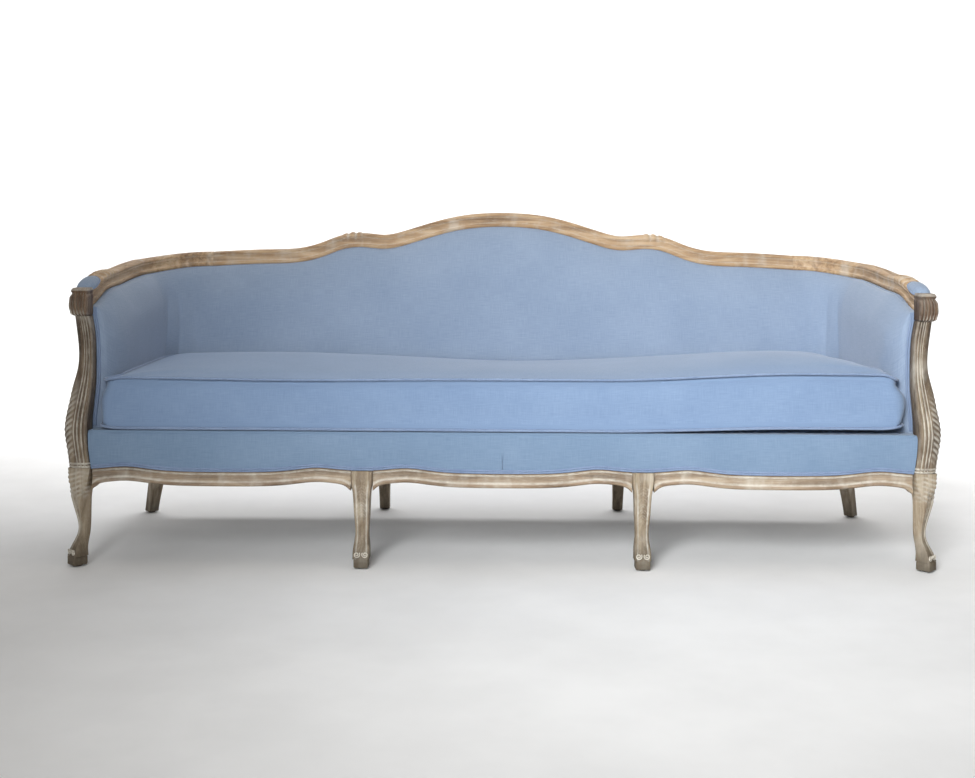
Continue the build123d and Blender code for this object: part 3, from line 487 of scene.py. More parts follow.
def on_wall(run, offset, z):
    """A point beside the wall's centre line; a negative offset is towards the sitter."""
    x, y, out_x, out_y, share = wall(run)
    return x + out_x * offset, y + out_y * offset + share * (z - SEAT_RAIL_TOP) * RAKE, z


crest_drop = smooth_curve(
    (0, 140, 289, 363, 420, 500, 550, 600, 736, 890, 950),
    (0, 12, 54, 70, 66, 74, 93, 108, 118, 126, 129), 0, 0.05)
arm_drop = smooth_curve((-60, 0, 120, 235, 336, 386, 416, 471), (-4, 0, 9, 20, 32, 51, 60, 66))


def rail_height(run):
    """Height of the rail's centre along the crest, the corners and the arms."""
    run = abs(run)
    if run <= CORNER_X:
        return float(CREST_CENTRE - crest_drop(run))
    if run <= ARM_RUN:
        turn = (run - CORNER_X) / CORNER_RADIUS
        return CORNER_CENTRE - (CORNER_CENTRE - ARM_CENTRE) * (1 - math.cos(2 * turn)) / 2
    return float(ARM_CENTRE - arm_drop(run - ARM_RUN))


def rail_stretch(run):
    """How much taller an upright section of the rail is where the rail slopes."""
    slope = (rail_height(run + 1) - rail_height(run - 1)) / 2
    return math.sqrt(1 + slope * slope)


def run_steps(first, last, step):
    """Even runs from first to last, about a step apart."""
    return np.linspace(first, last, int(math.ceil(abs(last - first) / step)) + 1)


# Carved show-wood

RAIL_PROFILE = moulding(
    (-19.5, -22.5),
    ((-22.0, -10.5), 2.4, 6),
    ((-19.4, -9.6), 0, 1),
    ((-21.0, 7.5), -1.4, 8),
    ((-19.0, 8.6), 0, 1),
    ((-15.5, 19.0), 3.2, 6),
    ((22.5, 16.3), 4.6, 10),
    ((22.5, -22.5), 0, 3),
)
RAIL_GROOVES = 0.4 * hollows(RAIL_PROFILE)
CREST_LEAF = (465, 34, 3)
ARM_LEAF = (ARM_RUN + 300, 62, 5)


def carved_leaf(run, leaf):
    """Height of a leaf's lobes at a run, and how deep between lobes that is."""
    centre, reach, lobes = leaf
    place = (abs(run) - centre + reach) / (2 * reach)
    if not 0 < place < 1:
        return 0.0, 0.0
    rise = math.sin(math.pi * place) ** 0.5
    lobe = abs(math.sin(math.pi * lobes * place)) ** 0.6
    return rise * lobe, rise * (1 - lobe)


def rail_piece(name, first, last, material, leaf, step=4.0):
    """A length of the moulded rail with its carved leaf."""
    rings = []
    grooves = []
    runs = run_steps(first, last, step)
    for number, run in enumerate(runs):
        stretch = rail_stretch(run)
        centre = rail_height(run)
        lobe, cut = carved_leaf(run, leaf)
        profile = RAIL_PROFILE.copy()
        upper = ease(profile[:, 1], -2, 9)
        front = ease(-profile[:, 0], -20, 4)
        profile = push_out(profile, upper * (4.0 * lobe - 2.2 * cut))
        if number in (0, len(runs) - 1):
            profile = push_out(profile, -MITRE)
        rings.append([on_wall(run, offset, centre + height * stretch) for offset, height in profile])
        grooves.append(np.maximum(RAIL_GROOVES, np.clip(upper * front * cut, 0, 0.7)))
    faces = loft_faces(len(rings), len(RAIL_PROFILE))
    return add_piece(name, rings, faces, material, grooves)


def make_rails():
    """The crest and the two arm rails, which meet at joints above the corners' start."""
    crest = rail_piece("crest_moulding", -CORNER_X, CORNER_X, OAK_RAIL, CREST_LEAF)
    settle(crest, "frame", "limed_oak", "crest_rail")
    for name, side in sides():
        rail = rail_piece(f"arm_moulding_{name}", side * (CORNER_X + 0.4), side * (SCROLL_RUN - 1),
                          OAK_ARM, ARM_LEAF)
        settle(rail, "frame", "limed_oak", f"arm_rail_{name}")


APRON_PROFILE = moulding(
    (RAIL_DEEP, -APRON_TALL),
    ((5.0, -APRON_TALL), 0, 3),
    ((1.5, -APRON_TALL + 10), 3.4, 7),
    ((5.2, -APRON_TALL + 11), 0, 1),
    ((3.0, -7.5), -2.4, 9),
    ((5.6, -6.6), 0, 1),
    ((9.5, 0), 2.4, 6),
    ((14, 0), 0, 1),
)
APRON_END = 1040
APRON_WAVE = 7
APRON_DIP = 6
APRON_LIP = 14
BRACKET_DROP = 16
BRACKET_REACH = 12
BAYS = (
    ("centre", -MIDDLE_LEG_X + LEG_BLOCK, MIDDLE_LEG_X - LEG_BLOCK),
    ("right", MIDDLE_LEG_X + LEG_BLOCK, APRON_END),
    ("left", -APRON_END, -MIDDLE_LEG_X - LEG_BLOCK),
)


def apron_top(share):
    """Height of the apron's wavy top edge along a bay: a wave near each leg, a dip between."""
    near = min(share, 1 - share)
    wave = APRON_WAVE * math.exp(-((near - 0.13) / 0.09) ** 2)
    return APRON_TOP + wave - APRON_DIP / (1 + math.exp(-(near - 0.27) / 0.045))


def bracket(distance):
    """How far the apron's lower edge drops where it runs into a leg."""
    return BRACKET_DROP * math.exp(-(distance / BRACKET_REACH) ** 1.25)


def make_aprons():
    """Three moulded front rails, swept along their wave and turned down into the legs."""
    seat = np.array(((APRON_LIP, SEAT_RAIL_TOP), (RAIL_DEEP, SEAT_RAIL_TOP)))
    for name, first, last in BAYS:
        rings = []
        grooves = []
        runs = run_steps(first, last, 4)
        for number, x in enumerate(runs):
            top = apron_top((x - first) / (last - first))
            drop = bracket(min(x - first, last - x))
            front = APRON_PROFILE.copy()
            front[:, 1] -= drop * ease(-front[:, 1], 8, APRON_TALL)
            front[:, 1] += top
            outline = np.vstack((front, seat))
            if number in (0, len(runs) - 1):
                outline = push_out(outline, -MITRE)
            rings.append([(x, RAIL_FRONT + y, z) for y, z in outline])
            grooves.append(0.9 * hollows(outline, 0.7))
        faces = loft_faces(len(rings), len(rings[0]))
        piece = add_piece(f"apron_{name}", rings, faces, OAK_APRON, grooves)
        settle(piece, "frame", "limed_oak", f"front_rail_{name}")


# Height above the post's foot, then inner and outer edges from the arm's middle, and the front
POST_SHAPE = (
    (0, -33, 23, 0), (48, -27, 31, -2), (98, -24, 37, -3), (153, -28, 30, 2), (204, -34, 19, 8),
    (254, -36, 6, 12), (304, -36, 4, 12), (350, -33, 8, 8), (385, -27, 12, 5),
)
SCROLL_SHAPE = (
    (385, -25, 11, 4), (388, -27, 16, -3), (395, -28, 19.5, -8), (408, -28, 22, -11), (424, -28, 21, -12),
    (438, -28, 17, -10), (443, -27, 14, -8), (447, -28, 16, -11), (452, -27, 15, -12), (456, -25, 12, -9),
)
POST_TOP = 385
POST_BACK = -322
POST_LEAN = 20
POST_LEAN_RISE = 350
SCROLL_TOP = 456
SCROLL_REED = 4.2
LEAF_DEPTH = 3.6
RING_BEADS = (3.4, 11.4)
RING_RADIUS = 3.2


def reeded_outline(inner, outer, front, back, reeds, share, leaf=None, reed_rise=3.2):
    """A post's section: carved round on its outer side, reeds in front, flat inside and behind."""
    width = outer - inner
    reed_end = inner + 2 + share * width
    deep = min(28, 0.6 * (back - front))
    points = [(outer, back), (outer, 0.5 * (back + front + deep))]
    for step in range(25):
        turn = math.pi / 2 * step / 24
        depth = leaf(turn / (math.pi / 2)) if leaf else 0
        across = (outer - reed_end) * math.cos(turn) - depth * math.cos(turn)
        points.append((reed_end + across, front + deep - (deep - depth) * math.sin(turn)))
    reed = (reed_end - inner - 2) / reeds
    for number in range(reeds):
        for step in range(1, 9):
            dip = reed_rise * (1 - math.sqrt(max(1 - (2 * step / 8 - 1) ** 2, 0)))
            points.append((reed_end - (number + step / 8) * reed, front + dip))
    points += [(inner + 0.6, front + reed_rise + 2.5), (inner, front + reed_rise + 6)]
    points += [(inner, 0.5 * (front + back)), (inner, back)]
    return np.array(points)


def post_back(z):
    """Where the back of an arm post stands at a height."""
    return POST_BACK - POST_LEAN * min(1, max(z - POST_FOOT, 0) / POST_LEAN_RISE)


def post_leaf(above):
    """Striations of the leaf that sweeps over the post's bulge."""
    window = float(ease(above, 12, 60) * (1 - ease(above, 150, 215)))

    def depth(place):
        line = 0.5 + 0.5 * math.cos(2 * math.pi * (1.9 * place - above / 15))
        return LEAF_DEPTH * window * math.sin(math.pi * min(place * 1.04, 1)) ** 0.4 * (1 - line) ** 1.3

    return depth


def make_posts():
    """Reeded arm posts with ring beads at the foot, and the reeded scrolls on top of them."""
    inner, outer, front = shape_curves(POST_SHAPE)
    scroll_inner, scroll_outer, scroll_front = shape_curves(SCROLL_SHAPE)
    for name, side in sides():
        rings = []
        grooves = []
        for above in (*run_steps(0, 16, 0.8), *run_steps(17, POST_TOP - 0.3, 2.5)):
            leaf = post_leaf(above)
            outline = reeded_outline(inner(above), outer(above), FRONT_Y + front(above),
                                     post_back(POST_FOOT + above), 3, 0.5, leaf, 4.0)
            bead = sum(math.sqrt(max(1 - ((above - ring) / RING_RADIUS) ** 2, 0)) for ring in RING_BEADS)
            groove = hollows(outline, 0.85)
            groove[2:27] = np.clip([leaf(step / 24) / LEAF_DEPTH for step in range(25)], 0, 0.9)
            groove = np.maximum(groove, 0.85 * bead)
            outline = push_out(outline, 2.6 * bead - 1.2 * (above < 15))
            rings.append([(side * (ARM_X + x), y, POST_FOOT + above) for x, y in outline])
            grooves.append(groove)
        faces = loft_faces(len(rings), len(rings[0]))
        post = add_piece(f"carved_post_{name}", rings, faces, OAK_POST, grooves)
        settle(post, "frame", "limed_oak", f"arm_post_{name}")
        rings = []
        grooves = []
        for above in run_steps(POST_TOP + 0.4, SCROLL_TOP, 1.5):
            rise = SCROLL_REED * (1 - float(ease(above, SCROLL_TOP - 18, SCROLL_TOP - 11)))
            outline = reeded_outline(scroll_inner(above), scroll_outer(above), FRONT_Y + scroll_front(above),
                                     SCROLL_BACK, 5, 0.84, None, rise)
            rings.append([(side * (ARM_X + x), y, POST_FOOT + above) for x, y in outline])
            fringe = 1 - float(ease(above, POST_TOP + 4, POST_TOP + 22))
            lip = float(ease(above, SCROLL_TOP - 8, SCROLL_TOP - 5))
            grooves.append(np.maximum(hollows(outline, 0.8) * (0.3 + 0.65 * fringe), 0.45 * lip))
        faces = loft_faces(len(rings), len(rings[0]))
        scroll = add_piece(f"reeded_scroll_{name}", rings, faces, OAK_SCROLL, grooves)
        settle(scroll, "frame", "limed_oak", f"arm_scroll_{name}")


# Height, reach of the curve towards the front, width and depth of the front legs
MIDDLE_LEG_SHAPE = (
    (26, 11, 43, 44), (46, 6, 42, 42), (78, -7, 35, 33), (124, -5, 38, 37), (180, 3, 43, 46),
    (200, 4, 47, 49), (216, 4, 53, 52), (234, 3, 55.4, 56), (251, 1, 55.4, 58),
)
CORNER_LEG_SHAPE = (
    (26, 11, 39, 41), (46, 7, 33, 34), (78, -5, 25, 25), (124, -5, 29, 29), (180, 3, 41, 41),
    (212, 4, 45, 45), (251, 1, 45, 45),
)
FOOT_PAD = (19, 20)
FOOT_REACH = 12
FOOT_CHAMFER = 1.5
FOOT_LEVELS = (GLIDE, GLIDE + FOOT_CHAMFER, 14, 23, 25)
SHANK_FOOT = 26
HEAD_HALF = 31
BLOCK_HALF_DEEP = 14


def husk(x, z, half):
    """A chain of small husks carved down the front of a leg."""
    band = float(ease(z, 112, 132) * (1 - ease(z, 214, 232)))
    wave = math.cos(2 * math.pi * (z / 15 + 0.8 * abs(x) / half))
    return band * max(wave, 0) * (1 - float(ease(abs(x) / half, 0.35, 0.52)))


def leg_outline(z, half_wide, half_deep):
    """A leg's section about its own centre: bead edges and a hollow front, square behind."""
    points = [(half_wide - 4, half_deep), (half_wide, half_deep - 4), (half_wide, 0)]
    for step in range(33):
        x = half_wide * (1 - step / 16)
        place = abs(x) / half_wide
        bead = 5 * (1 - math.sqrt(max(1 - ((place - 0.82) / 0.18) ** 2, 0)))
        hollow = 2.6 - 0.8 * husk(x, z, half_wide)
        points.append((x, -half_deep + (bead if place > 0.66 else hollow)))
    points += [(-half_wide, 0), (-half_wide, half_deep - 4), (4 - half_wide, half_deep)]
    return np.array(points)


def squared(outline, half):
    """The outline carried out onto a rounded square."""
    turns = np.arctan2(outline[:, 1], outline[:, 0])
    reach = (np.abs(np.cos(turns)) ** 9 + np.abs(np.sin(turns)) ** 9) ** (-1 / 9)
    return np.stack((np.cos(turns), np.sin(turns)), axis=1) * (half * reach)[:, None]


def knee_leaf(outline, z):
    """Depth of the leaf carved over a corner leg's knee, veined down from its outer arris."""
    turns = np.arctan2(outline[:, 1], outline[:, 0]) + math.pi / 4
    aside = np.abs(np.arctan2(np.sin(turns), np.cos(turns)))
    window = ease(z, 168, 186) * (1 - ease(z, 240, 247)) * (1 - ease(aside, 1.3, 1.8))
    return window * (0.5 - 0.5 * np.cos(z / 1.9 - 6 * aside)) ** 1.3


def leg_rings(shape, turn, head):
    """Rings of a cabriole leg about its axis, its front turned outwards."""
    reach, wide, deep = shape_curves(shape)
    spin = np.array(((math.cos(turn), -math.sin(turn)), (math.sin(turn), math.cos(turn))))
    rings = []
    grooves = []
    for z in FOOT_LEVELS:
        outline = squared(leg_outline(z, *FOOT_PAD), 1) * FOOT_PAD
        outline = push_out(outline, -FOOT_CHAMFER if z in (FOOT_LEVELS[0], FOOT_LEVELS[-1]) else 0)
        rings.append((outline + (0, -FOOT_REACH)) @ spin.T)
        grooves.append(np.zeros(len(outline)))
    top = POST_FOOT if head else POST_FOOT - 3
    shank = run_steps(SHANK_FOOT, top - 0.3, 2)
    for z in shank:
        outline = leg_outline(z, wide(z) / 2, deep(z) / 2)
        groove = 0.95 * hollows(outline, 0.8)
        outline = (outline + (0, -reach(z))) @ spin.T
        if head:
            share = float(ease(z, 176, 226))
            outline = outline * (1 - share) + squared(outline, HEAD_HALF - 1) * share
            leaf = knee_leaf(outline, z)
            outline = push_out(outline, -2.2 * leaf)
            groove = np.maximum(groove * (1 - 0.6 * share), 0.6 * leaf)
        else:
            groove = groove * (1 - float(ease(z, 206, 228)))
        rings.append(outline)
        grooves.append(groove)
    return [*FOOT_LEVELS, *shank], rings, grooves


def make_legs():
    """Corner legs turned outwards under the posts, and middle legs that run up to the seat rail."""
    for name, side in sides():
        heights, rings, grooves = leg_rings(CORNER_LEG_SHAPE, math.radians(45), True)
        points = [[(side * (LEG_X + x), LEG_Y + y, z) for x, y in ring] for z, ring in zip(heights, rings)]
        leg = add_piece(f"corner_leg_{name}", points, loft_faces(len(rings), len(rings[0])), OAK_LEG, grooves)
        settle(leg, "frame", "limed_oak", f"front_corner_leg_{name}")
        heights, rings, grooves = leg_rings(MIDDLE_LEG_SHAPE, 0, False)
        block_y = RAIL_FRONT + 2 * BLOCK_HALF_DEEP - MIDDLE_LEG_Y
        block = squared(rings[-1], 1) * (LEG_BLOCK - 0.4, BLOCK_HALF_DEEP) + (0, block_y)
        heights += [POST_FOOT - 2, SEAT_RAIL_TOP - 0.5]
        rings += [block, block]
        grooves += [np.zeros(len(block))] * 2
        points = [[(side * MIDDLE_LEG_X + x, MIDDLE_LEG_Y + y, z) for x, y in ring]
                  for z, ring in zip(heights, rings)]
        leg = add_piece(f"middle_leg_{name}", points, loft_faces(len(rings), len(rings[0])), OAK_LEG, grooves)
        settle(leg, "frame", "limed_oak", f"front_middle_leg_{name}")


# Geometry Nodes trees for what repeats or follows a path


def node_tree(name, inputs):
    """A geometry tree with named inputs, and its two ends."""
    tree = bpy.data.node_groups.new(name, "GeometryNodeTree")
    tree.interface.new_socket("Geometry", in_out="INPUT", socket_type="NodeSocketGeometry")
    for label, kind in inputs:
        tree.interface.new_socket(label, in_out="INPUT", socket_type=kind)
    tree.interface.new_socket("Geometry", in_out="OUTPUT", socket_type="NodeSocketGeometry")
    return tree, tree.nodes.new("NodeGroupInput"), tree.nodes.new("NodeGroupOutput")


def end_tree(tree, given, put, shape):
    """Makes instances real, gives them their material and ends the tree."""
    real = add_node(tree, "GeometryNodeRealizeInstances", sockets={0: shape})
    smooth = add_node(tree, "GeometryNodeSetShadeSmooth", sockets={0: real.outputs[0]})
    sockets = {0: smooth.outputs[0], "Material": given.outputs["Material"]}
    finished = add_node(tree, "GeometryNodeSetMaterial", sockets=sockets)
    tree.links.new(finished.outputs[0], put.inputs[0])
    return tree


def cord_tree():
    """A round cord along each path."""
    kinds = (("Radius", "NodeSocketFloat"), ("Material", "NodeSocketMaterial"))
    tree, given, put = node_tree("sewn_cord", kinds)
    sockets = {"Resolution": 8, "Radius": given.outputs["Radius"]}
    ring = add_node(tree, "GeometryNodeCurvePrimitiveCircle", sockets=sockets)
    sockets = {"Curve": given.outputs[0], "Profile Curve": ring.outputs[0], "Fill Caps": True}
    cord = add_node(tree, "GeometryNodeCurveToMesh", sockets=sockets)
    return end_tree(tree, given, put, cord.outputs[0])


def volute_tree():
    """A carved spiral bead at every point, turned as the point's own turn says."""
    kinds = (("Radius", "NodeSocketFloat"), ("Bead", "NodeSocketFloat"), ("Material", "NodeSocketMaterial"))
    tree, given, put = node_tree("foot_volute", kinds)
    sockets = {"Resolution": 22, "Rotations": 1.6, "Start Radius": 0.0012,
               "End Radius": given.outputs["Radius"], "Height": 0.0}
    spiral = add_node(tree, "GeometryNodeCurveSpiral", sockets=sockets)
    sockets = {"Resolution": 8, "Radius": given.outputs["Bead"]}
    ring = add_node(tree, "GeometryNodeCurvePrimitiveCircle", sockets=sockets)
    sockets = {"Curve": spiral.outputs[0], "Profile Curve": ring.outputs[0], "Fill Caps": True}
    bead = add_node(tree, "GeometryNodeCurveToMesh", sockets=sockets)
    turn = add_node(tree, "GeometryNodeInputNamedAttribute", data_type="FLOAT_VECTOR",
                    sockets={"Name": "turn"})
    limed = add_node(tree, "GeometryNodeStoreNamedAttribute", data_type="FLOAT", domain="POINT",
                     sockets={"Geometry": bead.outputs[0], "Name": "lime", "Value": 1.0})
    sockets = {"Points": given.outputs[0], "Instance": limed.outputs[0], "Rotation": turn.outputs[0]}
    placed = add_node(tree, "GeometryNodeInstanceOnPoints", sockets=sockets)
    return end_tree(tree, given, put, placed.outputs[0])


def row_tree():
    """Small blocks spaced along each path, such as staples and zip teeth."""
    kinds = (("Spacing", "NodeSocketFloat"), ("Size", "NodeSocketVector"), ("Material", "NodeSocketMaterial"))
    tree, given, put = node_tree("block_row", kinds)
    spots = add_node(tree, "GeometryNodeCurveToPoints", mode="LENGTH",
                     sockets={"Curve": given.outputs[0], "Length": given.outputs["Spacing"]})
    block = add_node(tree, "GeometryNodeMeshCube", sockets={"Size": given.outputs["Size"]})
    sockets = {"Points": spots.outputs["Points"], "Instance": block.outputs[0],
               "Rotation": spots.outputs["Rotation"]}
    placed = add_node(tree, "GeometryNodeInstanceOnPoints", sockets=sockets)
    return end_tree(tree, given, put, placed.outputs[0])


SEWN_CORD = cord_tree()
FOOT_VOLUTE = volute_tree()
BLOCK_ROW = row_tree()


def grown(name, source, tree, values):
    """The plain mesh that a tree makes from a source object, which is then removed."""
    modifier = source.modifiers.new(tree.name, "NODES")
    modifier.node_group = tree
    for item in tree.interface.items_tree:
        if item.in_out == "INPUT" and item.name in values:
            modifier[item.identifier] = values[item.name]
    bpy.context.view_layer.update()
    depsgraph = bpy.context.evaluated_depsgraph_get()
    mesh = bpy.data.meshes.new_from_object(source.evaluated_get(depsgraph))
    bpy.data.objects.remove(source)
    mesh.name = name
    piece = bpy.data.objects.new(name, mesh)
    scene.collection.objects.link(piece)
    return piece


def path_object(name, paths):
    """A curve object with one straight-run spline for each (points, closed) path, in millimetres."""
    curve = bpy.data.curves.new(name, "CURVE")
    curve.dimensions = "3D"
    for points, closed in paths:
        spline = curve.splines.new("POLY")
        spline.points.add(len(points) - 1)
        for knot, point in zip(spline.points, points):
            knot.co = (*(np.asarray(point) * MM), 1)
        spline.use_cyclic_u = closed
    holder = bpy.data.objects.new(name, curve)
    scene.collection.objects.link(holder)
    return holder


def sewn_cord(name, paths, radius, material):
    """Cords of one radius along all the paths, as one piece."""
    values = {"Radius": radius * MM, "Material": material}
    return grown(name, path_object(name + "_path", paths), SEWN_CORD, values)


# Upholstery


def swell(piece, limits, sewn, pressure=4.0, frames=20):
    """Blows a cover up as cloth and keeps each point within its limit of where it began."""
    mesh = piece.data
    start = np.zeros(len(mesh.vertices) * 3)
    mesh.vertices.foreach_get("co", start)
    start = start.reshape(-1, 3)
    held = piece.vertex_groups.new(name="sewn")
    for index in np.nonzero(sewn)[0]:
        held.add([int(index)], 1.0, "REPLACE")
    cloth = piece.modifiers.new("swell", "CLOTH")
    settings = cloth.settings
    settings.quality = 4
    settings.mass = 0.3
    settings.tension_stiffness = 12
    settings.compression_stiffness = 12
    settings.shear_stiffness = 8
    settings.bending_stiffness = 0.6
    settings.use_pressure = True
    settings.uniform_pressure_force = pressure
    settings.effector_weights.gravity = 0
    settings.vertex_group_mass = "sewn"
    cloth.point_cache.frame_start = 1
    cloth.point_cache.frame_end = frames
    for number in range(1, frames + 1):
        scene.frame_set(number)
    depsgraph = bpy.context.evaluated_depsgraph_get()
    blown = piece.evaluated_get(depsgraph)
    end = np.zeros(len(mesh.vertices) * 3)
    blown.data.vertices.foreach_get("co", end)
    shift = end.reshape(-1, 3) - start
    length = np.linalg.norm(shift, axis=1) + 1e-9
    most = np.asarray(limits) * MM
    shift *= (most * np.tanh(length / most) / length)[:, None]
    piece.modifiers.remove(cloth)
    piece.vertex_groups.remove(held)
    mesh.vertices.foreach_set("co", (start + shift).ravel())
    mesh.update()
    scene.frame_set(1)


def pad_top(run):
    """Height of the inside padding's upper edge, just under the rail."""
    return rail_height(run) - RAIL_HALF * rail_stretch(run) - PAD_GAP


PAD_END_RUN = ARM_RUN + CORNER_Y - POST_BACK - 1
PAD_ROUND = 44
PAD_END_FACE = -44
PAD_CROWN = 4.0
PAD_SLANT = 90
# Round the padding's section: how far each point may swell, and whether it is sewn down
PAD_LIMITS = [0.5] * 2 + [1] + [6] * 17 + [5] * 9 + [1.5] * 3 + [0.5] * 2
PAD_SEWN = [1] * 3 + [0] * 27 + [1] * 4


def pad_ring(run):
    """The inside padding's section at a run: offsets from the wall and heights, front first."""
    top = pad_top(run)
    roll = top - PAD_ROLL
    near = PAD_END_RUN - abs(run)
    turned = min(max(1 - near / PAD_ROUND, 0), 1)
    face = PAD_FACE + (PAD_END_FACE - PAD_FACE) * (1 - math.sqrt(1 - turned * turned))
    ring = [(PAD_BACK, PAD_LOW), (0.5 * (PAD_BACK + face), PAD_LOW)]
    for step in range(19):
        share = step / 18
        crown = PAD_CROWN * math.sin(math.pi * share) ** 1.5 * (1 - turned)
        ring.append((face - crown, PAD_LOW + share * (roll - PAD_LOW)))
    lip = max(PAD_LIP, face)
    for step in range(1, 12):
        turn = math.pi / 2 * step / 11
        ring.append((lip + (face - lip) * math.cos(turn), roll + PAD_ROLL * math.sin(turn)))
    ring += [(PAD_BACK, top), (PAD_BACK, 0.5 * (top + PAD_LOW))]
    return ring


def make_inside_padding():
    """The padded lining of the back and both arms, one soft sweep from post to post."""
    runs = list(run_steps(0, CORNER_X, 24)) + list(run_steps(CORNER_X, ARM_RUN, 12))[1:]
    runs += list(run_steps(ARM_RUN, PAD_END_RUN - PAD_ROUND, 20))[1:]
    runs += [PAD_END_RUN - PAD_ROUND * (1 - math.sin(math.pi / 2 * k / 8)) for k in range(1, 9)]
    runs = [-run for run in reversed(runs[1:])] + runs
    points = []
    cloth = []
    for run in runs:
        ring = pad_ring(run)
        travel = np.concatenate(([0], np.cumsum(np.hypot(*np.diff(np.array(ring), axis=0).T))))
        slant = 1 - min(max((PAD_END_RUN - abs(run)) / PAD_SLANT, 0), 1)
        for (offset, z), along in zip(ring, travel):
            x, y, z = on_wall(run, offset, z)
            points.append((x, y + slant * (post_back(z) - POST_BACK + 1), z))
            cloth.append((run, along))
    count = len(pad_ring(0))
    pad = add_piece("inside_padding", points, loft_faces(len(runs), count), WALL_LINEN, None, cloth, 60)
    limits = np.tile(np.array(PAD_LIMITS), len(runs))
    sewn = np.tile(np.array(PAD_SEWN), len(runs)).astype(bool)
    sewn[:3 * count] = True
    sewn[-3 * count:] = True
    swell(pad, limits, sewn, 3.0)
    settle(pad, "frame", "blue_linen", "inside_back_cover", "inside_arm_cover_left", "inside_arm_cover_right",
           "inside_back_foam", "inside_arm_foam_left", "inside_arm_foam_right")


def plan_edge(y, front, back, side, ear, ear_back, corner, back_corner):
    """Half width at a depth of a seat that has ears in front of the arms."""
    lower = side + (ear - side) * (1 - float(ease(y, ear_back - 9, ear_back + 9)))
    lead = y - front
    if lead < corner:
        lower -= corner - math.sqrt(max(corner ** 2 - (corner - lead) ** 2, 0))
    lag = back - y
    if lag < back_corner:
        lower -= back_corner - math.sqrt(max(back_corner ** 2 - (back_corner - lag) ** 2, 0))
    return lower


def plan_depths(plan, step):
    """Depths of the rows across a seat, closer where its outline turns."""
    front, back, ear_back = plan["front"], plan["back"], plan["ear_back"]
    corner, back_corner = plan["corner"], plan["back_corner"]
    rows = [front + corner * (1 - math.cos(math.pi / 2 * k / 5)) for k in range(6)]
    rows += list(run_steps(front + corner, ear_back - 9, step))[1:]
    rows += [ear_back - 5, ear_back, ear_back + 5, ear_back + 9]
    last = back - back_corner
    rows += list(run_steps(ear_back + 9, last, step))[1:]
    rows += [back - back_corner * (1 - math.sin(math.pi / 2 * k / 9)) for k in range(1, 10)]
    return np.array(rows)


def boxed_seat(plan, low, high, crown, sides_out, boxing, step, columns):
    """A closed boxed form over a seat plan, with the indices of its upper and lower seams."""
    rows = plan_depths(plan, step)
    shares = np.linspace(-1, 1, columns)
    flat = np.array([[(share * plan_edge(y, **plan), y) for share in shares] for y in rows])
    count = len(rows) * columns
    edge = [(0, c) for c in range(columns)] + [(r, columns - 1) for r in range(1, len(rows))]
    edge += [(len(rows) - 1, c) for c in range(columns - 2, -1, -1)]
    edge += [(r, 0) for r in range(len(rows) - 2, 0, -1)]
    rim = np.array([r * columns + c for r, c in edge])
    top = np.array([(x, y, high + crown(x, y)) for x, y in flat.reshape(-1, 2)])
    bottom = np.array([(x, y, low) for x, y in flat.reshape(-1, 2)])
    around = flat.reshape(-1, 2)[rim]
    points = [top, bottom]
    cloth = [flat.reshape(-1, 2), flat.reshape(-1, 2)]
    length = np.concatenate(([0], np.cumsum(np.linalg.norm(np.diff(around, axis=0), axis=1))))
    for level in boxing:
        out = sides_out * math.sin(math.pi * (high - level) / (high - low))
        points.append(np.column_stack((push_out(around, -out), np.full(len(rim), level))))
        cloth.append(np.column_stack((length, np.full(len(rim), level))))
    faces = []
    for r in range(len(rows) - 1):
        for c in range(columns - 1):
            corner = r * columns + c
            quad = (corner, corner + 1, corner + columns + 1, corner + columns)
            faces.append(quad)
            faces.append(tuple(count + index for index in reversed(quad)))
    boxed = [2 * count + k * len(rim) + np.arange(len(rim)) for k in range(len(boxing))]
    loops = [rim] + boxed + [count + rim]
    for upper, lower in zip(loops, loops[1:]):
        for k in range(len(rim)):
            after = (k + 1) % len(rim)
            faces.append((int(upper[after]), int(upper[k]), int(lower[k]), int(lower[after])))
    return np.vstack(points), np.vstack(cloth), faces, loops


CUSHION_PLAN = {"front": CUSHION_FRONT, "back": CUSHION_BACK, "side": CUSHION_SIDE, "ear": EAR_X,
                "ear_back": EAR_BACK, "corner": 30, "back_corner": 97}


def edge_distance(x, y, plan):
    """Roughly how far a point lies inside a seat plan's edge."""
    inside = plan_edge(y, **plan) - abs(x)
    return max(min(inside, y - plan["front"], plan["back"] - y), 0)


# Where along the cushion each dome stands, how far it reaches and how high it rises
CUSHION_DOMES = ((-650, 300, 14), (780, 320, 31))
CROWN_LEAST = 4
CROWN_EDGE = 70
# How far the right end rides up at its foot and its top, and how far the top is slack and sunk
RIDE_LOW = 11
RIDE_HIGH = 19
SLACK = 5
SUNK = 12


def cushion_crown(x, y):
    """The cushion's rise above its seam: a dome towards each end, lower in the middle and in front."""
    inward = edge_distance(x, y, CUSHION_PLAN)
    domes = sum(rise * math.exp(-((x - middle) / reach) ** 2) for middle, reach, rise in CUSHION_DOMES)
    kept = 0.6 + 0.4 * float(ease(y, -300, 0))
    return (CROWN_LEAST + kept * domes) * (1 - math.exp(-inward / CROWN_EDGE))


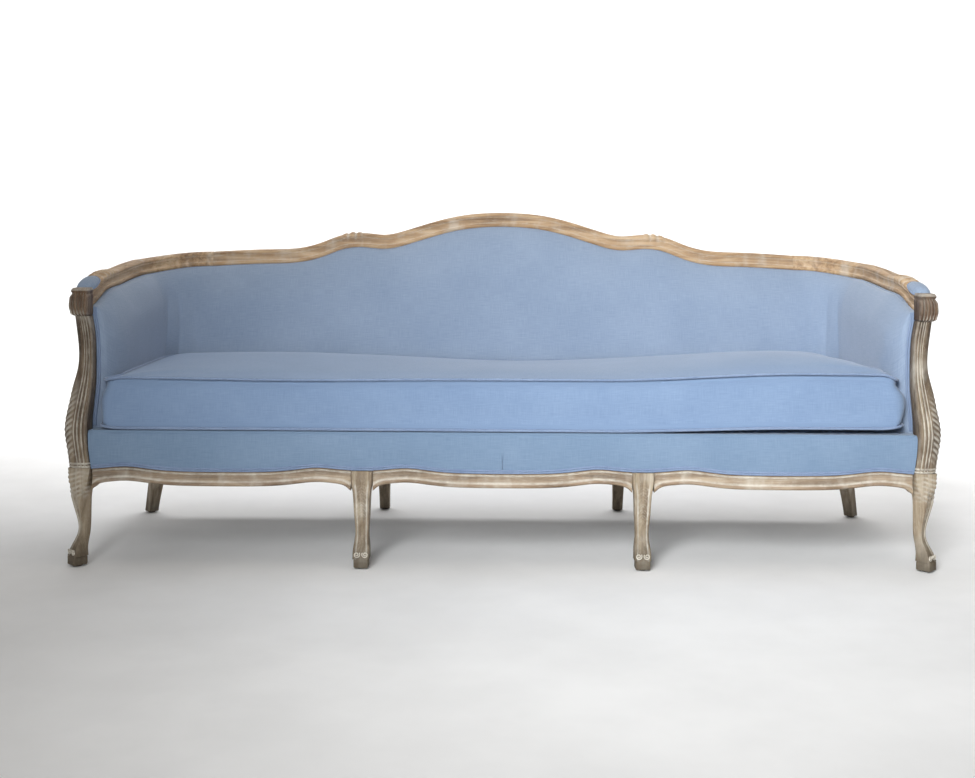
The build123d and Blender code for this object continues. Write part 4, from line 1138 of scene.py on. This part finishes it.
def soften_ears(points):
    """Lets the cushion's ends go slack: top corners droop and draw in, the foot tucks under."""
    x, y, z = points.T
    slack = np.where(x > 0, 1.0, 0.6)
    reach = ease(np.abs(x), EAR_X - 90, EAR_X + 6)
    rise = np.clip((z - SEAM_LOW) / (SEAM_HIGH - SEAM_LOW), 0, 1)
    front = slack * (1 - 0.7 * ease(y, EAR_BACK - 20, EAR_BACK + 60)) * reach ** 2
    draw = 24 * ease(rise, 0.5, 1.0) + 12 * (1 - ease(rise, 0.0, 0.35)) - 3 * np.sin(math.pi * rise)
    x = x - np.sign(x) * front * draw
    z = z - front * (16 * ease(rise, 0.5, 1.0) - 7 * (1 - ease(rise, 0.0, 0.3)))
    return np.column_stack((x, y, z))


def sat_on(points):
    """The shape that use leaves: sunk behind the middle, and the right end riding up in front."""
    x, y, z = points.T
    rise = np.clip((z - SEAM_LOW) / (SEAM_HIGH - SEAM_LOW), 0, 1)
    front = 1 - ease(y, -250, 50)
    ride = (RIDE_LOW + (RIDE_HIGH - RIDE_LOW) * rise) * ease(x, 250, 760) * front
    slack = SLACK * np.exp(-((x + 550) / 300) ** 2) * ease(rise, 0.5, 1.0) * front
    sunk = SUNK * np.exp(-((x - 40) / 300) ** 2) * ease(rise, 0.64, 1.0) * ease(y, -250, 120)
    return np.column_stack((x, y, z + ride - slack - sunk))


def make_cushion():
    """The long boxed cushion, swollen in its cover, with a welt round both edges."""
    points, cloth, faces, loops = boxed_seat(CUSHION_PLAN, SEAM_LOW, SEAM_HIGH, cushion_crown, 2.0,
                                             CUSHION_BOXING, 16, 131)
    points = sat_on(soften_ears(points))
    x, y, z = points.T
    slot = (y > CUSHION_BACK - 8) & (np.abs(x) < ZIP_HALF + 6) & (z > ZIP_LOW - 3) & (z < ZIP_HIGH + 3)
    points[slot, 1] = ZIP_BACK
    cushion = add_piece("seat_cushion", points, faces, BLUE_LINEN, None, cloth, 80)
    limits = np.full(len(points), 7.0)
    faces_count = loops[0].max() + 1
    inward = np.array([edge_distance(x, y, CUSHION_PLAN) for x, y, z in points[:faces_count]])
    limits[:faces_count] = 2 + 4 * (1 - np.exp(-inward / 60))
    limits[faces_count:2 * faces_count] = 0.8
    limits[loops[0]] = 2
    limits[loops[-1]] = 1
    sewn = np.zeros(len(points), bool)
    sewn[faces_count:2 * faces_count] = True
    sewn |= slot
    limits[slot] = 0.3
    swell(cushion, limits, sewn, 4.0)
    settle(cushion, "seat_cushion", "blue_linen", "cushion_cover", "cushion_core")
    for name, loop in (("top", loops[0]), ("bottom", loops[-1])):
        seam = np.array([cushion.data.vertices[int(index)].co for index in loop]) / MM
        out = push_out(seam[:, :2], -PIPING * 0.9)
        path = np.column_stack((out, seam[:, 2]))
        welt = sewn_cord(f"cushion_welt_{name}", [(path, True)], PIPING, CORD_LINEN)
        settle(welt, "seat_cushion", "piping_linen", f"cushion_piping_{name}")


DECK_PLAN = {"front": -371, "back": 201, "side": 984, "ear": 1047, "ear_back": -305, "corner": 8,
             "back_corner": 100}
DECK_LOW = 316
DECK_SEAM = DECK_TOP - 1
DECK_BOXING = (337, 326)


def make_deck():
    """The sprung seat's padded deck under the loose cushion."""
    def crown(x, y):
        return 0.9 * (1 - math.exp(-edge_distance(x, y, DECK_PLAN) / 40))

    points, cloth, faces, _ = boxed_seat(DECK_PLAN, DECK_LOW, DECK_SEAM, crown, 0, DECK_BOXING, 30, 71)
    deck = add_piece("seat_deck", points, faces, BAND_LINEN, None, cloth, 50)
    settle(deck, "frame", "blue_linen", "deck_cover", "deck_foam")


def bay_top(x):
    """Height of the show-wood below the border at a place along the front."""
    for name, first, last in BAYS:
        if first <= x <= last:
            return apron_top((x - first) / (last - first))
    return APRON_TOP


BORDER_Y = -371.5
BORDER_BACK = -361
BORDER_HALF = 1044
BORDER_ROLL = 331
BORDER_ROUND = 15
BORDER_PUFF = 5.0
SEAM_WIDE = 0.0014
SEAM_DEEP = 3.0
BORDER_WELT_HALF = 1041
BORDER_WELT_Y = -374.6
BORDER_WELTS = (2.4, 7.4)


def make_border():
    """The padded linen border between the apron and the seat, and the double welt at its foot."""
    inner = shape_curves(POST_SHAPE)[0]
    shares = np.sort(np.append(np.linspace(-1, 1, 241), (-SEAM_WIDE, SEAM_WIDE)))
    points = []
    cloth = []
    for share in shares:
        base = bay_top(share * BORDER_HALF)
        seam = SEAM_DEEP if share == 0 else 0.0
        ring = []
        for step in range(13):
            rise = step / 12
            puff = BORDER_PUFF * math.sin(math.pi * min(0.1 + 0.8 * rise, 1)) ** 0.7
            z = base + rise * (BORDER_ROLL - base)
            ring.append((BORDER_Y - puff + seam * (1 - float(ease(z, 278, 300))), z))
        round_deep = BORDER_BACK - ring[-1][0]
        for step in range(1, 8):
            turn = math.pi / 2 * step / 7
            rolled = BORDER_ROLL + BORDER_ROUND * math.sin(turn)
            ring.append((BORDER_BACK - round_deep * math.cos(turn), rolled))
        ring += [(BORDER_BACK, 300), (BORDER_BACK, base)]
        for y, z in ring:
            edge = ARM_X + float(inner(max(z - POST_FOOT, 0))) - 2.2
            points.append((share * edge, y, z))
            cloth.append((share * edge, z if y < BORDER_BACK else z + 60))
    count = len(points) // len(shares)
    border = add_piece("seat_border", points, loft_faces(len(shares), count), BAND_LINEN, None, cloth, 60)
    settle(border, "frame", "blue_linen", "border_cover")
    paths = []
    for rise in BORDER_WELTS:
        spots = np.linspace(-BORDER_WELT_HALF, BORDER_WELT_HALF, 420)
        paths.append(([(x, BORDER_WELT_Y, bay_top(x) + rise) for x in spots], False))
    settle(sewn_cord("border_double_welt", paths, CORD, CORD_LINEN), "frame", "piping_linen")


# Offset from the wall and drop of each cord below the rails, and gap of each cord beside a post
RAIL_WELTS = ((-27.5, 1.0), (-32.5, 3.0))
POST_WELTS = (3.4, 8.4)


def make_rail_welts():
    """Double welts that cover the tacks below the rails and behind the posts."""
    runs = run_steps(-PAD_END_RUN + 6, PAD_END_RUN - 6, 12)
    paths = []
    for offset, drop in RAIL_WELTS:
        paths.append(([on_wall(run, offset, pad_top(run) - drop) for run in runs], False))
    settle(sewn_cord("rail_double_welt", paths, CORD, CORD_LINEN), "frame", "piping_linen")
    inner = shape_curves(POST_SHAPE)[0]
    heights = np.linspace(DECK_TOP + 4, pad_top(PAD_END_RUN) - 2, 60)
    edges = [ARM_X + float(inner(min(z - POST_FOOT, POST_TOP))) for z in heights]
    for name, side in sides():
        paths = []
        for gap in POST_WELTS:
            path = [(side * (edge - gap), post_back(z) + 0.4, z) for edge, z in zip(edges, heights)]
            paths.append((path, False))
        settle(sewn_cord(f"post_double_welt_{name}", paths, CORD, CORD_LINEN), "frame", "piping_linen")


ARM_PAD_HALF = (24, 44)
ARM_PAD_Y = -295
ARM_PAD_TALL = 19
ARM_PAD_LEVELS = (0, 0.12, 0.3, 0.5, 0.68, 0.82, 0.92, 0.98)
ARM_PAD_AROUND = 44
ARM_PAD_CORD = 2.0


def rail_top(offset, run):
    """Height of the rail's rounded top at an offset from the wall."""
    upper = RAIL_PROFILE[22:33]
    return rail_height(run) + float(np.interp(offset, upper[:, 0], upper[:, 1])) * rail_stretch(run)


def make_arm_pads():
    """The small stuffed pads on the arms behind the scrolls."""
    level_base = rail_height(ARM_RUN + CORNER_Y - ARM_PAD_Y) + RAIL_HALF
    faces = loft_faces(len(ARM_PAD_LEVELS), ARM_PAD_AROUND)
    for name, side in sides():
        points = []
        cloth = []
        welt = []
        for level in ARM_PAD_LEVELS:
            size = (1 - level ** 2.1) ** (1 / 2.1)
            lean = 0.55 * level
            for step in range(ARM_PAD_AROUND):
                turn = 2 * math.pi * step / ARM_PAD_AROUND
                c, s = math.cos(turn), math.sin(turn)
                reach = (abs(c) ** 2.8 + abs(s) ** 2.8) ** (-1 / 2.8)
                x = ARM_PAD_HALF[0] * size * c * reach
                y = ARM_PAD_Y + ARM_PAD_HALF[1] * size * s * reach
                base = rail_top(x, ARM_RUN + CORNER_Y - y) + 0.8
                z = base * (1 - lean) + level_base * lean + ARM_PAD_TALL * level
                points.append((side * (ARM_X + x), y, z))
                cloth.append((x + 0.4 * ARM_PAD_TALL * level, y))
                if level == 0:
                    welt.append((side * (ARM_X + x * 1.03), y, base + 1.6))
        pad = add_piece(f"arm_pad_{name}_stuffed", points, faces, WALL_LINEN, None, cloth, 70)
        settle(pad, "frame", "blue_linen", f"arm_pad_{name}")
        cord = sewn_cord(f"arm_pad_welt_{name}", [(welt, True)], ARM_PAD_CORD, CORD_LINEN)
        settle(cord, "frame", "piping_linen")


COVER_LOW = 313.5
COVER_SETBACK = 32
COVER_END = SCROLL_RUN - COVER_SETBACK
COVER_OUT = 16.9
COVER_THICK = 1.8
COVER_HOLLOW = 1.6
COVER_DRAW = 90
COVER_ROWS = 25


def outside_point(run, share, depth, outer):
    """A point of an outside cover: hollowed between its edges, and drawn in behind the arm post."""
    z = COVER_LOW + share * (pad_top(run) - 1 - COVER_LOW)
    offset = COVER_OUT - COVER_HOLLOW * math.sin(math.pi * share)
    tuck = float(ease(abs(run), COVER_END - COVER_DRAW, COVER_END))
    edge = float(outer(min(z - POST_FOOT, POST_TOP))) - 4
    offset += tuck * (min(edge, offset) - offset) - depth
    x, y, z = on_wall(run, offset, z)
    return x, y + tuck * (post_back(z) + 1 - SCROLL_BACK - COVER_SETBACK), z


def make_outside_covers():
    """Linen stretched over the outside of the back and arms."""
    outer = shape_curves(POST_SHAPE)[1]
    joint = CORNER_X + 0.6
    spans = (
        ("back", "outside_back_cover", -CORNER_X + 0.6, CORNER_X - 0.6,
         ("rear_rail_centre", "lower_back_rail_centre")),
        ("arm_right", "outside_arm_cover_right", joint, COVER_END,
         ("side_rail_right", "lower_arm_rail_right")),
        ("arm_left", "outside_arm_cover_left", -COVER_END, -joint,
         ("side_rail_left", "lower_arm_rail_left")),
    )
    for name, cover, first, last, carriers in spans:
        runs = run_steps(first, last, 14)
        points = []
        cloth = []
        for run in runs:
            for share in np.linspace(0, 1, COVER_ROWS):
                points.append(outside_point(run, share, 0, outer))
                cloth.append((run, points[-1][2]))
            for share in np.linspace(1, 0, COVER_ROWS):
                points.append(outside_point(run, share, COVER_THICK, outer))
                cloth.append((run, points[-1][2]))
        faces = loft_faces(len(runs), 2 * COVER_ROWS)
        sheet = add_piece(f"outside_{name}_linen", points, faces, WALL_LINEN, None, cloth, 50)
        settle(sheet, "frame", "blue_linen", cover)
        heights = [(pad_top(run) - COVER_LOW) * math.hypot(1, RAKE) for run in runs]


VOLUTE_HIGH = 37.5
VOLUTE_ASIDE = 10.5
VOLUTE_OUT = 30.6
CORNER_VOLUTE_OUT = 29.4
VOLUTE_RADIUS = 8.2
VOLUTE_BEAD = 1.6


def make_volutes():
    """Spiral beads on the front of every scroll foot."""
    spots = []
    turns = []
    for side in (1, -1):
        for hand in (1, -1):
            aside = hand * VOLUTE_ASIDE
            spots.append((side * MIDDLE_LEG_X + aside, MIDDLE_LEG_Y - VOLUTE_OUT, VOLUTE_HIGH))
            turns.append((math.pi / 2, 0.0, 0.0 if hand > 0 else math.pi))
            lean = side * math.pi / 4
            x = side * LEG_X + CORNER_VOLUTE_OUT * math.sin(lean) + aside * math.cos(lean)
            y = LEG_Y - CORNER_VOLUTE_OUT * math.cos(lean) + aside * math.sin(lean)
            spots.append((x, y, VOLUTE_HIGH))
            turns.append((math.pi / 2, 0.0, lean + (0.0 if hand > 0 else math.pi)))
    mesh = bpy.data.meshes.new("volute_spots")
    mesh.from_pydata((np.array(spots) * MM).tolist(), [], [])
    stored = mesh.attributes.new("turn", "FLOAT_VECTOR", "POINT")
    stored.data.foreach_set("vector", np.array(turns, np.float32).ravel())
    holder = bpy.data.objects.new("volute_spots", mesh)
    scene.collection.objects.link(holder)
    values = {"Radius": VOLUTE_RADIUS * MM, "Bead": VOLUTE_BEAD * MM, "Material": OAK_VOLUTE}
    settle(grown("foot_volutes", holder, FOOT_VOLUTE, values), "frame", "limed_oak")


# Half of the dust cloth's outline, from the front round to the back
DUST_HALF = ((1010, -338), (1072, -280), (1072, 90), (960, 240), (880, 282))
DUST_MIDDLE = -28
DUST_RINGS = 14
STAPLE_SPACING = 38
STAPLE_SIZE = (0.9, 0.7, 9)


def make_underside():
    """The black cloth under the seat and the staples that hold it."""
    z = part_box("dust_cover")[0][2] / MM
    mirrored = [(-x, y) for x, y in reversed(DUST_HALF)]
    outline = np.array([mirrored[-1], *DUST_HALF, *mirrored[:-1]], float)
    points = []
    for level in range(DUST_RINGS):
        share = 1 - level / DUST_RINGS
        points += [(x * share, DUST_MIDDLE + (y - DUST_MIDDLE) * share, z + 0.6) for x, y in outline]
    count = len(outline)
    faces = loft_faces(DUST_RINGS, count, True, False)
    faces.append(tuple((DUST_RINGS - 1) * count + k for k in range(count)))
    cloth = [(x, y) for x, y, _ in points]
    sheet = add_piece("dust_cloth_sheet", points, faces, DUST_CLOTH, None, cloth, 60)
    settle(sheet, "frame", "dust_cloth", "dust_cover")
    inset = np.column_stack((outline * 0.985, np.full(count, z - 0.1)))
    size = [side * MM for side in STAPLE_SIZE]
    values = {"Spacing": STAPLE_SPACING * MM, "Size": size, "Material": STEEL}
    staples = grown("dust_cloth_staples", path_object("staple_line", [(inset, True)]), BLOCK_ROW, values)
    settle(staples, "frame", "steel")


TOOTH_SPACING = 3.0
TOOTH_SIZE = (3.2, 1.2, 1.6)
TOOTH_END = 6
TOOTH_PROUD = 0.6


def make_zip_teeth():
    """The teeth of the zip in the back of the cushion."""
    low, high = [np.array(corner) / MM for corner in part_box("cushion_zip")]
    middle = 0.5 * (low[2] + high[2])
    back = high[1] + TOOTH_PROUD
    line = [(low[0] + TOOTH_END, back, middle), (high[0] - TOOTH_END, back, middle)]
    size = [side * MM for side in TOOTH_SIZE]
    values = {"Spacing": TOOTH_SPACING * MM, "Size": size, "Material": STEEL}
    teeth = grown("zip_teeth", path_object("zip_line", [(line, False)]), BLOCK_ROW, values)
    settle(teeth, "seat_cushion", "steel")


CAD_FINISHES = (
    (OAK_STILE, ("rear_corner_stile", "rear_middle_stile")),
    (OAK_SIDE, ("side_rail",)),
    (OAK_APRON, ("rear_rail",)),
    (BEECH, ("seat_cross_rail", "corner_blocks", "seat_frame_dowels", "arm_dowels", "crest_dowels",
             "lower_back_rail", "lower_arm_rail")),
    (WEBBING, ("seat_webbing", "back_webbing")),
    (STEEL, ("corner_block_screws", "zip_slider")),
    (GLIDE_PLASTIC, ("leg_glides",)),
    (ZIP_TAPE, ("cushion_zip",)),
)


def finish_cad_nodes():
    """Gives the solids that stay in view their own finish."""
    for material, stems in CAD_FINISHES:
        for name, solid in nodes.items():
            if name.startswith(stems):
                solid.data.materials.clear()
                solid.data.materials.append(material)


SWEEP_WIDE = 11000
SWEEP_FRONT = -8000
SWEEP_BACK = 7800
SWEEP_ROUND = 2000
SWEEP_TALL = 8000


def make_stage():
    """A pale floor that sweeps up far behind the sofa."""
    material = speckled("studio_sweep", (240, 240, 240), (246, 246, 246), (3, 3, 3), 0.9, 0, 0.0)
    profile = [(SWEEP_FRONT, 0)]
    for turn in np.linspace(0, math.pi / 2, 11):
        profile.append((SWEEP_BACK - SWEEP_ROUND * (1 - math.sin(turn)), SWEEP_ROUND * (1 - math.cos(turn))))
    profile.append((SWEEP_BACK, SWEEP_TALL))
    points = [(x, y, z) for y, z in profile for x in (-SWEEP_WIDE, SWEEP_WIDE)]
    faces = [(2 * k, 2 * k + 1, 2 * k + 3, 2 * k + 2) for k in range(len(profile) - 1)]
    mesh = bpy.data.meshes.new("studio_sweep")
    mesh.from_pydata((np.array(points) * MM).tolist(), [], faces)
    mesh.shade_smooth()
    mesh.materials.append(material)
    sweep = bpy.data.objects.new("studio_sweep", mesh)
    scene.collection.objects.link(sweep)


def add_light(name, place, target, size, watts, colour=(1, 1, 1), spread=180):
    """A soft square lamp aimed at a point, in metres, with its spread in degrees."""
    lamp = bpy.data.lights.new(name, "AREA")
    lamp.shape = "SQUARE"
    lamp.size = size
    lamp.energy = watts
    lamp.color = colour
    lamp.spread = math.radians(spread)
    holder = bpy.data.objects.new(name, lamp)
    holder.location = place
    holder.rotation_euler = (Vector(target) - Vector(place)).to_track_quat("-Z", "Y").to_euler()
    scene.collection.objects.link(holder)


def make_lights():
    """A soft key that favours the right end, weak fill, and a wash on the sweep behind."""
    add_light("key", (-0.6, -3.7, 2.2), (0.84, 0, 0.5), 1.4, 25, (0.97, 0.99, 1.0), 60)
    add_light("fill", (-2.2, -3.4, 1.4), (0.4, 0, 0.5), 2.4, 5)
    add_light("overhead", (0.4, -0.5, 3.4), (0.3, 0, 0), 2.6, 13, (1.0, 0.89, 0.75))
    add_light("sweep_wash", (0, 3.4, 5.2), (0, 7.8, 1.6), 7.0, 620)
    world = bpy.data.worlds.new("pale_surround")
    world.use_nodes = True
    world.node_tree.nodes["Background"].inputs["Color"].default_value = (1.0, 0.99, 0.97, 1)
    world.node_tree.nodes["Background"].inputs["Strength"].default_value = 0.27
    scene.world = world
    scene.view_settings.view_transform = "Standard"


# The photograph's frame and what it shows of the viewpoint
IMAGE_WIDE = 975
CAMERA_PLACE = (-0.0155, -3.697, 0.873)
FOCAL_PIXELS = 1311.7
MIDDLE_SHIFT = -10.6
HORIZON_SHIFT = -163.8
CAMERA_ROLL = -0.4


def make_camera():
    """The photograph's camera, in front of the sofa's middle and a little out of level."""
    camera = bpy.data.cameras.new("photo_view")
    camera.sensor_width = 36
    camera.lens = 36 * FOCAL_PIXELS / IMAGE_WIDE
    camera.shift_x = MIDDLE_SHIFT / IMAGE_WIDE
    camera.shift_y = HORIZON_SHIFT / IMAGE_WIDE
    camera.clip_end = 60
    holder = bpy.data.objects.new("photo_view", camera)
    holder.location = CAMERA_PLACE
    holder.rotation_euler = (math.pi / 2, math.radians(CAMERA_ROLL), 0)
    scene.collection.objects.link(holder)
    scene.camera = holder


make_rails()
make_aprons()
make_posts()
make_legs()
make_volutes()
make_inside_padding()
make_cushion()
make_deck()
make_border()
make_rail_welts()
make_arm_pads()
make_outside_covers()
make_underside()
make_zip_teeth()
finish_cad_nodes()
make_stage()
make_lights()
make_camera()
